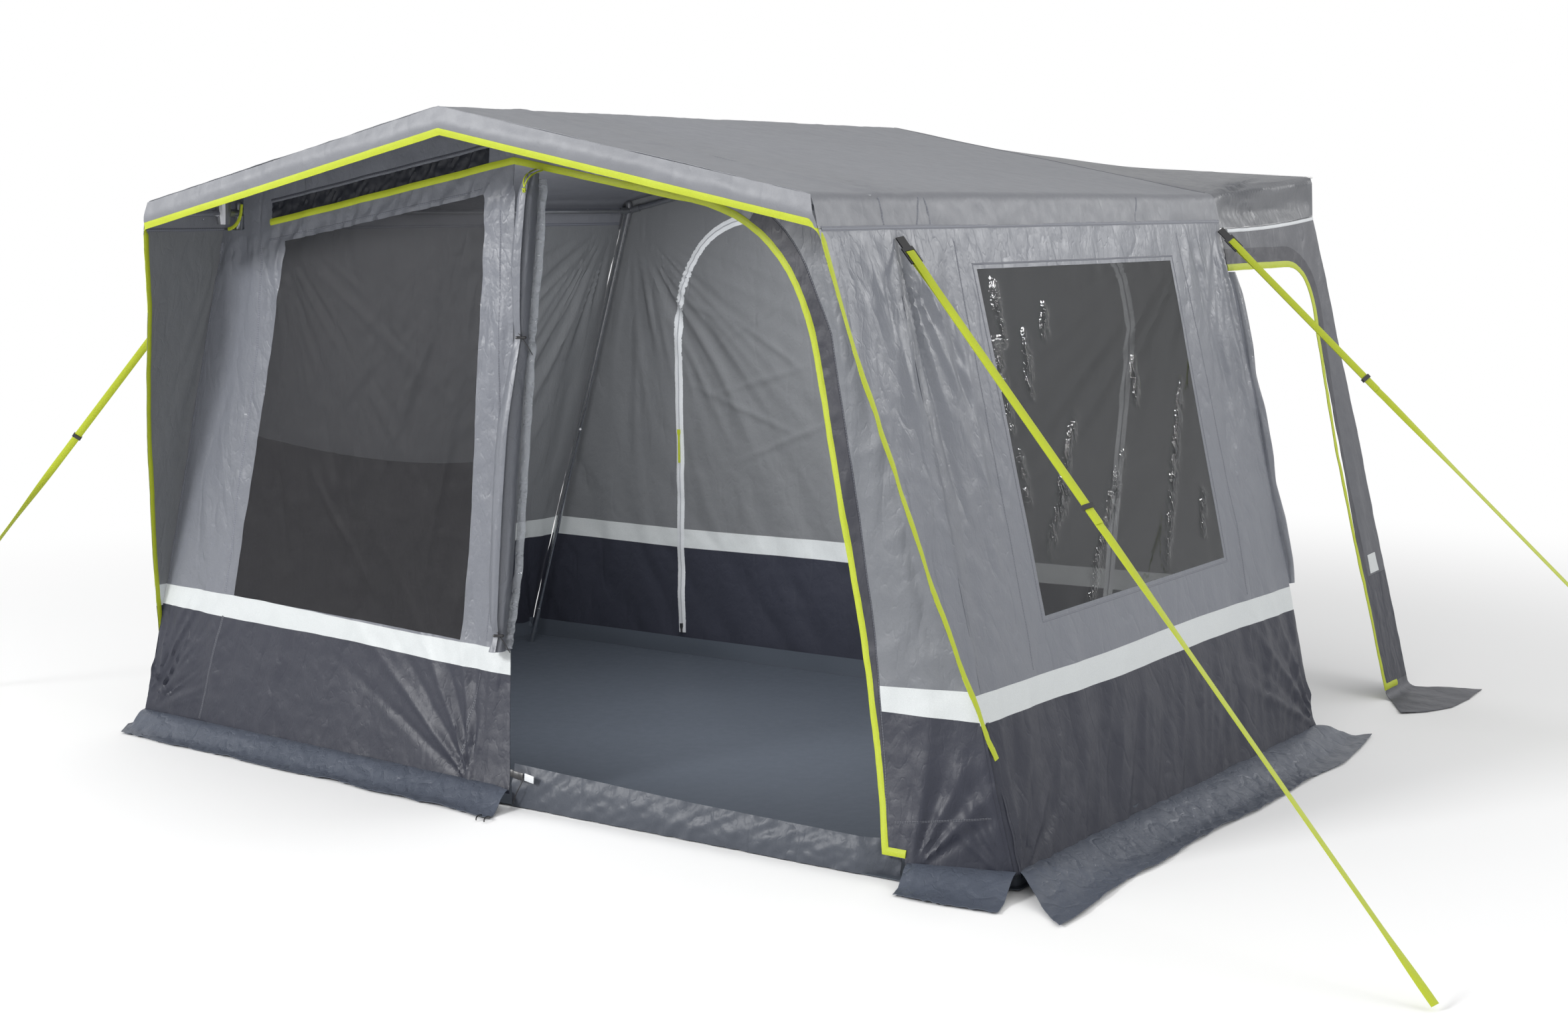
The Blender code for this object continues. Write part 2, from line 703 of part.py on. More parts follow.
def make_front_wall():
    """The front wall with its mesh window and inner flap, the door's opening and the pole notches."""
    notch = EAVE_POLE_X - NOTCH_WIDTH
    limit = inner_limit
    jamb = [(jamb_x(z), z) for z in (WALL_FOOT, *BOW_ROWS, HEAD_APEX[1] - 0.002)]
    outline = [(-limit(WALL_FOOT), WALL_FOOT), *jamb, HEAD_APEX, *door_edge(DOOR_HEM),
               (BOW_RIGHT, DOOR_HEM), (BOW_RIGHT + CLOTH, WALL_FOOT),
               (limit(WALL_FOOT), WALL_FOOT), (limit(NOTCH_LOW), NOTCH_LOW), (notch, NOTCH_LOW),
               (notch, under_roof(notch)), (0.0, under_roof(0)), (-notch, under_roof(notch)),
               (-notch, NOTCH_LOW), (-limit(NOTCH_LOW), NOTCH_LOW)]
    far, rest = DOOR_LEFT + BASE_HALF_WIDTH, BASE_HALF_WIDTH - BOW_RIGHT
    columns = [DOOR_LEFT - far * share for share in (0.84, 0.67, 0.5, 0.33, 0.16, 0)]
    columns += [BOW_RIGHT, BOW_RIGHT + 0.3 * rest, BOW_RIGHT + 0.63 * rest]
    bends = (columns, [*BOW_ROWS, EAVE_HEIGHT])
    centre = ridge_centre(-1)
    eye = [(p.x, p.z) for p in circle(centre, Vector((0, 1, 0)), SOCKET_RADIUS + 5 * GAP)]
    panel("wall_front", outline, [MESH_WINDOW, eye], front_point, "light cloth", bends)
    mesh = offset_path(MESH_WINDOW + MESH_WINDOW[:2], GAP)[1:-1]
    panel("window_mesh", mesh, [], front_point, "mesh", bends)
    low_left, low_right = MESH_WINDOW[0], MESH_WINDOW[1]
    flap = [(low_left[0] - FLAP_HEM, low_left[1] - FLAP_HEM),
            (low_right[0] + FLAP_HEM, low_right[1] - FLAP_HEM),
            *arc(FLAP_TOP_RIGHT, FLAP_TOP_DIP, FLAP_TOP_LEFT, 6)]
    panel("window_flap", flap, [], front_point, "dark cloth", bends, behind=CLOTH + 4 * GAP)
    foot = DOOR_HEM + BINDING_WIDTH / 2
    edge = [HEAD_LEFT, HEAD_APEX, *door_edge(foot), (BOW_RIGHT, foot)]
    binding("door_piping", edge, front_point, BINDING_WIDTH, "lime tape", lift=0.0012)


def rear_arch():
    """The rear door's zip line as (u, z), up its first leg, over the top and down the other."""
    half = [(ARCH_FOOT_HALF, ARCH_FOOT_Z),
            *arc((ARCH_SPRING_HALF, ARCH_SPRING_Z), ARCH_SHOULDER,
                 (ARCH_TOP_HALF, ARCH_TOP_Z), 7)]
    return half + [(-u, z) for u, z in half[::-1]]


def make_rear_wall():
    """The rear wall, the door panel in its arch and the zip between them."""
    limit = inner_limit
    arch = rear_arch()
    hole = offset_path(arch, -ZIP_WIDTH / 2)
    inside = offset_path(arch, ZIP_WIDTH / 2 + GAP)
    hole[0], hole[-1] = (hole[0][0], ARCH_FOOT_Z), (hole[-1][0], ARCH_FOOT_Z)
    inside[0] = (inside[0][0], ARCH_FOOT_Z + GAP)
    inside[-1] = (inside[-1][0], ARCH_FOOT_Z + GAP)
    outline = [(-limit(WALL_FOOT), WALL_FOOT), (limit(WALL_FOOT), WALL_FOOT),
               (limit(EAVE_HEIGHT - 0.02), EAVE_HEIGHT - 0.02),
               (0.97 * EAVE_HALF_WIDTH, under_roof(0.97 * EAVE_HALF_WIDTH)),
               (0.0, under_roof(0)),
               (-0.97 * EAVE_HALF_WIDTH, under_roof(0.97 * EAVE_HALF_WIDTH)),
               (-limit(EAVE_HEIGHT - 0.02), EAVE_HEIGHT - 0.02)]
    bends = ([], [EAVE_HEIGHT])
    panel("wall_rear", outline, [hole], rear_point, "light cloth", bends)
    panel("rear_door", inside, [], rear_point, "light cloth")
    tape = offset_path(arch, -(ZIP_WIDTH / 2 - GAP))
    tape[0] = (tape[0][0], ARCH_FOOT_Z + GAP)
    tape[-1] = (tape[-1][0], ARCH_FOOT_Z + GAP)
    inner_side = offset_path(arch, ZIP_WIDTH / 2)
    inner_side[0] = (inner_side[0][0], ARCH_FOOT_Z + GAP)
    inner_side[-1] = (inner_side[-1][0], ARCH_FOOT_Z + GAP)
    stations = []
    for (a, b), (c, d) in zip(tape, inner_side):
        inward = -square_to(rear_point, a, b)
        stations.append((rear_point(a, b), rear_point(c, d), inward * CLOTH))
    strip("rear_zip", stations, "zip tape")


def make_front_piping():
    """The lime edge from one wing's tip over the porch gable to the other's."""
    edge = wing_edge()[::-1]
    surface = side_point(1)
    out = square_to(surface, 0, 1)
    front = Vector((0, -1, 0))
    up = Vector((-SIDE_SLOPE * SIDE_COS, 0, SIDE_COS))
    width = BINDING_WIDTH
    corner = surface(*edge[-1])
    slant = (Vector((0, 1, 0)) + up).normalized()

    def station(edge, other, normal):
        return edge + normal * GAP, other + normal * GAP, normal * BINDING_THICKNESS

    right = [station(surface(*a), surface(*b), out)
             for a, b in zip(edge, offset_path(edge, -width))]
    right += [station(corner, corner + slant * width, out),
              station(corner, corner + up * width, out + front)]
    apex = Vector((0, ROOF_FRONT, RIDGE_HEIGHT - VALANCE))
    middle = [station(apex, apex + Vector((0, 0, width)), front)]
    flip = Matrix.Diagonal((-1, 1, 1))
    left = [tuple(flip @ v for v in item) for item in right]
    strip("front_piping", right + middle + left[::-1], "lime tape")


def make_tunnel():
    """Tunnel roof with its hanging sides, the walls, the side doorway's tape and the keder."""
    length = VAN_Y - ROOF_REAR
    rows_y = [ROOF_REAR + GAP, ROOF_REAR + 0.02, ROOF_REAR + 0.256 * length,
              ROOF_REAR + 0.504 * length, ROOF_REAR + 0.752 * length, VAN_Y]
    outer, inner = [], []
    for y in rows_y:
        share = max(0.0, (y - rows_y[1]) / (VAN_Y - rows_y[1]))

        def blend(a, b):
            return a + (b - a) * share

        seam_z = tunnel_seam_z(y)
        edge = (blend(EAVE_HALF_WIDTH, VAN_EDGE_X), blend(EAVE_HEIGHT, VAN_EDGE_Z))
        seam = (tunnel_x(y, seam_z), seam_z)
        fold = TUNNEL_FOLD * math.sin(math.pi * share)
        middle = ((edge[0] + seam[0]) / 2 - fold, (edge[1] + seam[1]) / 2)
        shoulder = (VAN_SHOULDER_X, blend(roof_z(VAN_SHOULDER_X), VAN_SHOULDER_Z))
        half = [seam, middle, edge, shoulder]
        section = [(-x, z) for x, z in half] + [(0.0, blend(RIDGE_HEIGHT, VAN_RIDGE_Z))]
        section += half[::-1]
        row = [Vector((x, y, z)) for x, z in section]
        outer += row
        inner += offset_row(row, Vector((0, 1, 0)), -CLOTH)
    columns = len(section)
    shell("tunnel_roof", outer, inner, grid_faces(len(rows_y), columns), "roof cloth")

    top_row = outer[-columns:][2:-2]
    keder = [p + Vector((0, KEDER_RADIUS + GAP, -CLOTH / 2)) for p in top_row]
    lift = Vector((0, 0, KEDER_RADIUS))
    reach = Vector((0, KEDER_RADIUS, 0))
    rings = []
    for p in keder:
        rings.append([p + lift * math.sin(a) + reach * math.cos(a)
                      for a in [math.pi * k / 4 for k in range(8)]])
    rings_body("keder_strip", rings, "white cord")

    def front_edge(z):
        return rear_y(z) + GAP

    seam = [(y, tunnel_seam_z(y) - GAP) for y in rows_y[:0:-1]]
    first_seam = (front_edge(TUNNEL_SEAM_Z), TUNNEL_SEAM_Z - GAP)
    foot_y = TUNNEL_DOOR_FOOT_Y
    doorway = [(front_edge(TUNNEL_DOOR_HEAD), TUNNEL_DOOR_HEAD),
               *arc((TUNNEL_DOOR_ARC_START, TUNNEL_DOOR_HEAD - 0.012), TUNNEL_DOOR_CORNER,
                    TUNNEL_DOOR_ARC_END, 6),
               (foot_y, WALL_FOOT + 0.02)]
    outline = [(foot_y, WALL_FOOT), (foot_y - 0.020, -0.010), (foot_y - 0.207, -0.105),
               (foot_y - 0.127, -0.177), (foot_y - 0.009, -0.232), (foot_y + 0.163, -0.246),
               (VAN_Y + 0.101, -0.240), (VAN_Y + 0.020, -0.060), (VAN_Y, WALL_FOOT),
               *seam, first_seam, *doorway]
    bend = (WALL_FOOT - CLOTH) * math.pi / 2
    bends = ([], [WALL_FOOT - bend, WALL_FOOT - 0.66 * bend, WALL_FOOT - 0.33 * bend, WALL_FOOT])
    panel("tunnel_wall_right", outline, [], tunnel_point(1), "light cloth", bends)
    tape = [doorway[0], *doorway[1:-1], (foot_y, WALL_FOOT + BINDING_WIDTH / 2),
            (foot_y + 0.13, WALL_FOOT + BINDING_WIDTH / 2 - 0.004)]
    tape[0] = (tape[0][0] + 0.03, tape[0][1])
    binding("tunnel_piping", tape, tunnel_point(1), BINDING_WIDTH, "lime tape", lift=0.0008)
    closed = [(front_edge(0), 0.0), (VAN_Y, 0.0), *seam, first_seam]
    panel("tunnel_wall_left", [(-y, max(z, CLOTH / 2)) for y, z in closed][::-1],
          [], lambda u, v: Vector((-tunnel_x(-u, v), -u, v)), "light cloth")


def roll(name, path, finish):
    """A rolled cloth with lengthwise folds; path gives its places, radii and how deep the folds are."""
    count = 4 * ROLL_FLUTES
    rings = []
    for i, (centre, radius, depth) in enumerate(path):
        ring = []
        for k in range(count):
            angle = 2 * math.pi * k / count
            wave = 1 - depth * (0.5 - 0.5 * math.cos(ROLL_FLUTES * angle + 0.35 * i))
            ring.append(centre + Vector((math.cos(angle), math.sin(angle), 0)) * (radius * wave))
        rings.append(ring)
    rings_body(name, rings, finish)


# Each place of the rolled door: x, how far below the door's apex, and the roll's radius
DOOR_ROLL = [(0.085, 0.0355, 0.026), (0.078, 0.107, 0.042), (0.060, 0.307, 0.044),
             (0.046, 0.467, 0.033), (0.042, 0.527, 0.026), (0.037, 0.597, 0.034),
             (0.014, 0.797, 0.048), (-0.006, 1.047, 0.049), (-0.020, 1.247, 0.047),
             (-0.032, 1.387, 0.038), (-0.036, 1.437, 0.027), (-0.036, 1.492, 0.034)]
UPPER_TIE = 4
LOWER_TIE = 10
TUNNEL_ROLL = [(1.575, 0.024), (1.500, 0.034), (1.330, 0.036), (1.220, 0.027), (1.100, 0.036),
               (0.940, 0.034), (0.860, 0.025), (0.740, 0.035), (0.600, 0.033), (0.520, 0.022)]


def door_roll_centre(x, drop, radius):
    z = HEAD_APEX[1] - drop
    wall = front_point(min(x, DOOR_LEFT), z)
    return Vector((x, wall.y - radius - ROLL_STAND, z))


def make_rolls():
    """The front door rolled beside its jamb and the tunnel's side door rolled at the corner."""
    path = []
    for i, (x, drop, r) in enumerate(DOOR_ROLL):
        depth = 0.0 if i in (UPPER_TIE, LOWER_TIE) else ROLL_FLUTE_DEPTH
        path.append((door_roll_centre(x, drop, r), r, depth))
    roll("door_bundle", path, "light cloth")
    path = []
    for z, r in TUNNEL_ROLL:
        centre = Vector((side_x(z) - 0.004, rear_y(z) + r + GAP, z))
        path.append((centre, r, ROLL_FLUTE_DEPTH))
    roll("tunnel_bundle", path, "light cloth")
    make_toggle("toggle_upper", DOOR_ROLL[UPPER_TIE])
    make_toggle("toggle_lower", DOOR_ROLL[LOWER_TIE])


def make_toggle(name, tie):
    """A bar with a stem, which turns on the stem to pass through its loop."""
    x, drop, radius = tie
    centre = door_roll_centre(x, drop, radius)
    turn = math.radians(TOGGLE_TURN)
    front = Vector((math.sin(turn), -math.cos(turn), 0))
    right = Vector((math.cos(turn), math.sin(turn), 0))
    stem = centre + front * (radius + 3 * GAP)
    bar = stem + front * (0.004 + TOGGLE_RADIUS)
    half = TOGGLE_LENGTH / 2
    rings = []
    for share, size in ((-1, 0.6), (-0.75, 1.0), (-0.2, 0.8), (0.2, 0.8), (0.75, 1.0), (1, 0.6)):
        rings.append(circle(bar + right * (share * half), right, TOGGLE_RADIUS * size, 10))
    pin = [circle(stem, front, 0.0025, 10), circle(bar, front, 0.0025, 10)]
    obj = solid_parts(name, [rings])
    cutter = solid_parts(name + "_stem", [pin])
    cutter.hide_render = True
    cutter.display_type = "WIRE"
    join = obj.modifiers.new("Stem", "BOOLEAN")
    join.operation = "UNION"
    join.solver = "EXACT"
    join.object = cutter
    with_origin(finished(obj, "black plastic"), stem)


def make_sliders():
    """The two zip sliders on the rear door's left leg, on the room's side of the wall."""
    foot = Vector((-ARCH_FOOT_HALF, rear_y(ARCH_FOOT_Z), ARCH_FOOT_Z))
    spring = Vector((-ARCH_SPRING_HALF, rear_y(ARCH_SPRING_Z), ARCH_SPRING_Z))
    along = toward(foot, spring)
    inward = -square_to(rear_point, ARCH_FOOT_HALF, 1.0)
    across = along.cross(inward).normalized()
    for name, height, tail, finish in (("rear_slider_upper", 0.900, PULLER_LENGTH, "lime tape"),
                                       ("rear_slider_lower", 0.112, 0.012, "black plastic")):
        spot = foot.lerp(spring, (height - foot.z) / (spring.z - foot.z))
        spot += inward * (CLOTH + GAP)
        half, length = 0.006, SLIDER_LENGTH
        outline = [(-half, length / 2), (half, length / 2), (half, 0.0), (0.4 * half, -0.35 * length),
                   (0.5 * half, -0.35 * length - tail), (-0.5 * half, -0.35 * length - tail),
                   (-0.4 * half, -0.35 * length), (-half, 0.0)]
        low = [spot + across * a + along * b for a, b in outline]
        plate = [low, [p + inward * 0.007 for p in low]]
        with_origin(rings_body(name, plate, finish, smooth=False), spot)


def make_groundsheet():
    """The floor, with a low rim inside the walls and a raised threshold in the doorway."""
    def limit(z):
        return side_x(z) - (CLOTH + GAP) / SIDE_COS

    def front_rim(x, height):
        y = front_point(x, height).y + CLOTH + 0.004
        return ((x, y, 0.0), (x, y, height))

    low = RIM_HEIGHT
    rear = [rear_y(0) - CLOTH - 2 * GAP, rear_y(low) - CLOTH - 3 * GAP]
    left = [front_y(0) + CLOTH + 0.004, front_y(low) + CLOTH + 0.004]
    corners = [((-limit(0) + GAP, left[0], 0.0), (-limit(low) + GAP, left[1], low))]
    first = jamb_x(0) + 0.002
    last = leg_x(THRESHOLD_HEIGHT) - BINDING_WIDTH / 2 - 0.003
    far = DOOR_LEFT + BASE_HALF_WIDTH
    corners += [front_rim(x, low)
                for x in (DOOR_LEFT - 0.67 * far, DOOR_LEFT - 0.33 * far, DOOR_LEFT, first)]
    for x, drop in ((first, 0.0), (0.5 * (first + last), 0.022), (last, 0.030)):
        y = THRESHOLD_Y
        corners.append(((x, y, 0.0), (x, y + THRESHOLD_LEAN, THRESHOLD_HEIGHT - drop)))
    corners += [front_rim(x, low) for x in (last, BOW_RIGHT, 0.5 * (BOW_RIGHT + BASE_HALF_WIDTH))]
    corners.append(((limit(0) - GAP, left[0], 0.0), (limit(low) - GAP, left[1], low)))
    corners.append(((limit(0) - GAP, rear[0], 0.0), (limit(low) - GAP, rear[1], low)))
    corners.append(((-limit(0) + GAP, rear[0], 0.0), (-limit(low) + GAP, rear[1], low)))
    count = len(corners)

    def inset(loop):
        flat = [(p[0], p[1]) for p in loop]
        moved = offset_path([flat[-1], *flat, flat[0]], CLOTH)[1:-1]
        return [Vector((u, v, p[2])) for (u, v), p in zip(moved, loop)]

    base = [Vector(pair[0]) for pair in corners]
    rim = [Vector(pair[1]) for pair in corners]
    base_in = inset(base)
    for p in base_in:
        p.z = CLOTH
    rim_in = inset(rim)
    for outside, within in zip(rim, rim_in):
        within.z = outside.z
    floor = tuple(reversed(range(count)))
    faces = [floor] + [(i, (i + 1) % count, count + (i + 1) % count, count + i)
                       for i in range(count)]
    shell("groundsheet", base + rim, base_in + rim_in, faces, "ground cloth")


FLAP_RUN = (0.0, 0.1, 0.25, 0.4, 0.55, 0.7, 0.82, 1.0)


def flap(name, stations):
    """A strip sewn round the walls' foot that falls to the ground and lies outwards on it."""
    outer, inner = [], []
    for root, out, width in stations:
        out = out.normalized()
        row = []
        for share in FLAP_RUN:
            fall = 0.5 + 0.5 * math.cos(math.pi * min(1.0, share / 0.8))
            z = CLOTH + (SEAM_HEIGHT - CLOTH) * fall
            row.append(Vector((root[0], root[1], z)) + out * (width * share))
        outer += row
        inner += offset_row(row, out.cross(Vector((0, 0, 1))), CLOTH)
    for p in inner:
        p.z = max(p.z, 0.0)
    shell(name, outer, inner, grid_faces(len(stations), len(FLAP_RUN)), "ground cloth")


def make_flaps():
    """Mud flaps: one round the front left corner and one round the front right corner."""
    root_z = SEAM_HEIGHT - 1.5 * CLOTH
    side_root = side_x(root_z) + GAP

    def front_root(x):
        return (x, front_point(x, root_z).y - 0.0012)

    front = Vector((0, -1, 0))
    wide = FRONT_FLAP_WIDTH
    left = []
    left.append(((0.072, THRESHOLD_Y - 0.018), Vector((0.35, -1, 0)), 0.155))
    left.append((front_root(0.5 * DOOR_LEFT), Vector((0.12, -1, 0)), 0.152))
    step = (BASE_HALF_WIDTH - 0.182 - 0.220) / 7
    for i in range(8):
        x = -0.220 - step * i
        left.append((front_root(x), front, wide * (1 + 0.05 * math.sin(2.3 * i))))
    left.append(((-BASE_HALF_WIDTH + 0.008, front_y(root_z) - 0.004), Vector((0.35, -1, 0)), 0.150))
    steep_root = side_root + 5 * GAP
    left.append(((-steep_root, front_y(root_z) + 0.02), Vector((-1, -0.4, 0)), 0.035))
    left.append(((-steep_root, -HALF_DEPTH + 0.10), Vector((-1, 0, 0)), 0.05))
    for share, width in ((-0.71, 0.12), (-0.43, 0.19), (0.0, 0.21), (0.43, 0.20)):
        left.append(((-side_root, share * HALF_DEPTH), Vector((-1, 0, 0)), width))
    left.append(((-side_root, rear_y(root_z) - 0.01), Vector((-1, 0.25, 0)), 0.17))
    flap("mud_flap_left", left[::-1])

    right = []
    right.append((front_root(BOW_RIGHT + 0.008), Vector((0.25, -1, 0)), 0.125))
    rest = BASE_HALF_WIDTH - BOW_RIGHT
    right.append((front_root(BOW_RIGHT + 0.265 * rest), Vector((0.10, -1, 0)), 0.150))
    right.append((front_root(BOW_RIGHT + 0.63 * rest), Vector((0.05, -1, 0)), 0.180))
    right.append(((BASE_HALF_WIDTH - 0.01, front_y(root_z) - 0.005), Vector((0.28, -1, 0)), 0.200))
    right.append(((side_root, front_y(root_z) + 0.012), Vector((1, -0.90, 0)), 0.320))
    right.append(((side_root, front_y(root_z) + 0.06), Vector((1, -0.30, 0)), 0.235))
    for i, share in enumerate((-0.81, -0.62, -0.43, -0.21, 0.0, 0.23, 0.44, 0.65)):
        width = SIDE_FLAP_WIDTH * (1 + 0.05 * math.sin(1.9 * i))
        right.append(((side_root, share * HALF_DEPTH), Vector((1, 0, 0)), width))
    right.append(((side_root, rear_y(root_z) - 0.01), Vector((1, 1.35, 0)), 0.225))
    flap("mud_flap_right", right[::-1])


def make_strap(place, attach, peg, out, keeper_at, twist):
    """A guy strap doubled back through its buckle, with the keeper round both layers."""
    peg = Vector((peg[0], peg[1], PEG_HEIGHT))
    down = toward(attach, peg)
    across = down.cross(Vector((0, 0, 1))).normalized()
    face = across.cross(down).normalized()
    if face.z < 0:
        face = -face
    turn = math.radians(twist)
    across, face = (across * math.cos(turn) + face * math.sin(turn),
                    face * math.cos(turn) - across * math.sin(turn))
    whole = (peg - attach).length
    tilt = abs(face.dot(out)) * BUCKLE_THICKNESS / 2 + abs(across.dot(out)) * STRAP_WIDTH / 2
    tab_start = (tilt + 2 * GAP) / down.dot(out)
    body_start = tab_start + BUCKLE_TAB
    slot = body_start + 0.012
    slot_end = slot + 0.012
    body_end = body_start + BUCKLE_LENGTH

    def at(s, across_by, face_by):
        return attach + down * s + across * across_by + face * face_by

    half, wide, inner = STRAP_WIDTH / 2, BUCKLE_WIDTH / 2, STRAP_WIDTH / 2 + 0.002
    outline = [(tab_start, -half), (tab_start, half), (body_start, half), (body_start, wide),
               (body_end, wide), (body_end, -wide), (body_start, -wide), (body_start, -half)]
    thick = BUCKLE_THICKNESS / 2
    plate = solid_parts("buckle_" + place, [[[at(s, a, -thick) for s, a in outline],
                                             [at(s, a, thick) for s, a in outline]]])
    windows = []
    for low, high in ((slot, slot_end), (slot_end + 0.006, body_end - 0.007)):
        loop = [(low, -inner), (low, inner), (high, inner), (high, -inner)]
        windows.append([[at(s, a, -2 * thick) for s, a in loop],
                        [at(s, a, 2 * thick) for s, a in loop]])
    cutter = solid_parts("buckle_" + place + "_slots", windows)
    cutter.hide_render = True
    cutter.display_type = "WIRE"
    cut = plate.modifiers.new("Slots", "BOOLEAN")
    cut.operation = "DIFFERENCE"
    cut.solver = "EXACT"
    cut.object = cutter
    finished(plate, "black plastic")

    apart = thick + 0.0005 + STRAP_THICKNESS / 2
    near = STRAP_THICKNESS / 2 + 0.0004
    turn = (slot + slot_end) / 2
    clear = body_end + 0.012
    meet = body_end + 0.090
    tail_end = keeper_at + STRAP_TAIL
    route = [(whole, 0.0), (tail_end + 0.03, 0.0), (tail_end + 0.01, -near), (meet, -near),
             (clear, -apart), (turn, -apart), (turn, apart), (clear, apart), (meet, near),
             (tail_end, near)]
    row = [at(s, 0.0, f) for s, f in route]
    top = offset_row(row, across, STRAP_THICKNESS / 2)
    bottom = offset_row(row, across, -STRAP_THICKNESS / 2)
    stations = []
    for a, b in zip(top, bottom):
        stations.append((a - across * half, b - across * half, across * STRAP_WIDTH))
    strip("strap_" + place, stations, "lime tape")

    rim = 0.0025
    low, high = near + STRAP_THICKNESS / 2 + 2 * GAP, half + 2 * GAP
    hole = [(-high, -low), (high, -low), (high, low), (-high, low)]
    low, high = low + rim, high + rim
    ring = [(-high, -low), (high, -low), (high, low), (-high, low)]
    outer_rings = [[at(keeper_at + s, a, f) for a, f in ring] for s in (-0.007, 0.007)]
    inner_rings = [[at(keeper_at + s, a, f) for a, f in hole] for s in (0.007, -0.007)]
    loops = [*outer_rings, *inner_rings, outer_rings[0]]
    points = [p for loop in loops for p in loop]
    keeper = body("keeper_" + place, points, grid_faces(len(loops), 4, closed=True), "black plastic")
    with_origin(keeper, at(keeper_at, 0.0, 0.0))


def make_straps():
    """Guy straps at the two front corners and the rear right corner."""
    seam_z = seam_corner()[1]
    z = seam_z - 0.016
    out = square_to(side_point(1), 0, 1)
    mirror = Vector((-out.x, out.y, out.z))
    front, rear = STRAP_INSET - HALF_DEPTH, HALF_DEPTH - STRAP_INSET
    make_strap("front_right", Vector((side_x(z), front, z)), FRONT_PEG, out,
               KEEPER_FRONT_RIGHT, TWIST_FRONT_RIGHT)
    make_strap("front_left", Vector((-side_x(z), front, z)), (-FRONT_PEG[0], FRONT_PEG[1]),
               mirror, KEEPER_FRONT_LEFT, TWIST_FRONT_LEFT)
    make_strap("rear_right", Vector((side_x(z), rear, z)), REAR_PEG, out,
               KEEPER_REAR_RIGHT, TWIST_REAR_RIGHT)


def make_awning():
    for obj in list(bpy.data.objects):
        bpy.data.objects.remove(obj, do_unlink=True)
    make_frame()
    make_roof()
    make_side_walls()
    make_front_wall()
    make_rear_wall()
    make_front_piping()
    make_tunnel()
    make_rolls()
    make_sliders()
    make_groundsheet()
    make_flaps()
    make_straps()


make_awning()
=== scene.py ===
# %% [markdown]
# # A campervan awning, dressed around its measured frame
# The awning is a fabric room on steel poles. The rigid pieces and every size come from the packed
# model, which is loaded first and never moved. This lesson then sews the cloth around it: each
# panel is cut flat, laid on the surface that the poles give it, and wrinkled by a formula.

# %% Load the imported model
import math

import bmesh
import bpy
import numpy as np
from mathutils import Matrix, Vector, geometry


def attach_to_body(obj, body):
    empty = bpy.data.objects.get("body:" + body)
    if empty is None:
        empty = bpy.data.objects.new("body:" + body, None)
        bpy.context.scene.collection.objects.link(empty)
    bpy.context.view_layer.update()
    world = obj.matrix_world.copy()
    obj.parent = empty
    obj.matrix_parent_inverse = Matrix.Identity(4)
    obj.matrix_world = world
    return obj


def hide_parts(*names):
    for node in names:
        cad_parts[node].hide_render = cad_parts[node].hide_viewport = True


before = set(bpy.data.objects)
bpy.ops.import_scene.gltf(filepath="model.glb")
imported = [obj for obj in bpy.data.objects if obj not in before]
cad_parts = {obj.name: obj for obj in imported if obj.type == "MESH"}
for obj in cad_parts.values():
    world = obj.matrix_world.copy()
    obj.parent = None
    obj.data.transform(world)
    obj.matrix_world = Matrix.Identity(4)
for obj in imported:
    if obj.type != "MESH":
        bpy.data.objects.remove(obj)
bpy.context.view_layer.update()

# %% [markdown]
# ## Camera
# A camera is a pinhole with a film behind it. The photograph was taken from the front right at
# standing height with a slightly long lens, so its place, its turn and its focal length are given
# as numbers and nothing is tracked or constrained.

# %% Camera
CAMERA_PLACE = Vector((4.594, -6.137, 1.789))
YAW, PITCH, ROLL = (math.radians(a) for a in (35.428, -7.786, -0.421))
LENS = 51.27


def aim(yaw, pitch, roll):
    """The camera's turn: yaw to the left of +Y, pitch upwards, roll about the line of sight."""
    forward = Vector((-math.sin(yaw) * math.cos(pitch), math.cos(yaw) * math.cos(pitch),
                      math.sin(pitch)))
    level = Vector((math.cos(yaw), math.sin(yaw), 0))
    over = level.cross(forward)
    right = level * math.cos(roll) + over * math.sin(roll)
    up = over * math.cos(roll) - level * math.sin(roll)
    return Matrix((right, up, -forward)).transposed().to_quaternion()


camera_data = bpy.data.cameras.new("camera")
camera_data.sensor_width = 36.0
camera_data.lens = LENS
camera = bpy.data.objects.new("camera", camera_data)
camera.location = CAMERA_PLACE
camera.rotation_mode = "QUATERNION"
camera.rotation_quaternion = aim(YAW, PITCH, ROLL)
bpy.context.collection.objects.link(camera)
bpy.context.scene.camera = camera
bpy.context.scene.view_settings.view_transform = "Standard"
print("camera at", tuple(CAMERA_PLACE))

# %% [markdown]
# ## The surfaces that the poles give the cloth
# Every panel lies on a simple surface: the side walls lean inwards, the front and rear walls lean
# outwards to their feet, and the roof is a ridge with two slopes. Each surface is a function of two
# flat coordinates, so a pattern piece can be drawn flat, as a sailmaker draws it. The functions
# take whole arrays of points at once, because a cloth has tens of thousands of them.

# %% Sizes of the room
RIDGE, EAVE, EAVE_X, BASE_X = 2.100, 1.835, 1.305, 1.782
HALF_DEPTH, FRONT_FLARE, REAR_LEAN = 1.050, 0.069, 0.121
PORCH_Y, ROOF_REAR, VALANCE = -1.384, 1.053, 0.085
BOW_DEPTH, BOW_HEIGHT, BOW_RIGHT, DOOR_LEFT, JAMB_SPREAD = 0.110, 0.750, 1.480, -0.025, 0.85
WALL_FOOT, CLOTH, GAP = 0.035, 0.0014, 0.0003
SIDE_SLOPE = (BASE_X - EAVE_X) / EAVE
ROOF_SLOPE = (RIDGE - EAVE) / EAVE_X
VAN_Y = 1.940


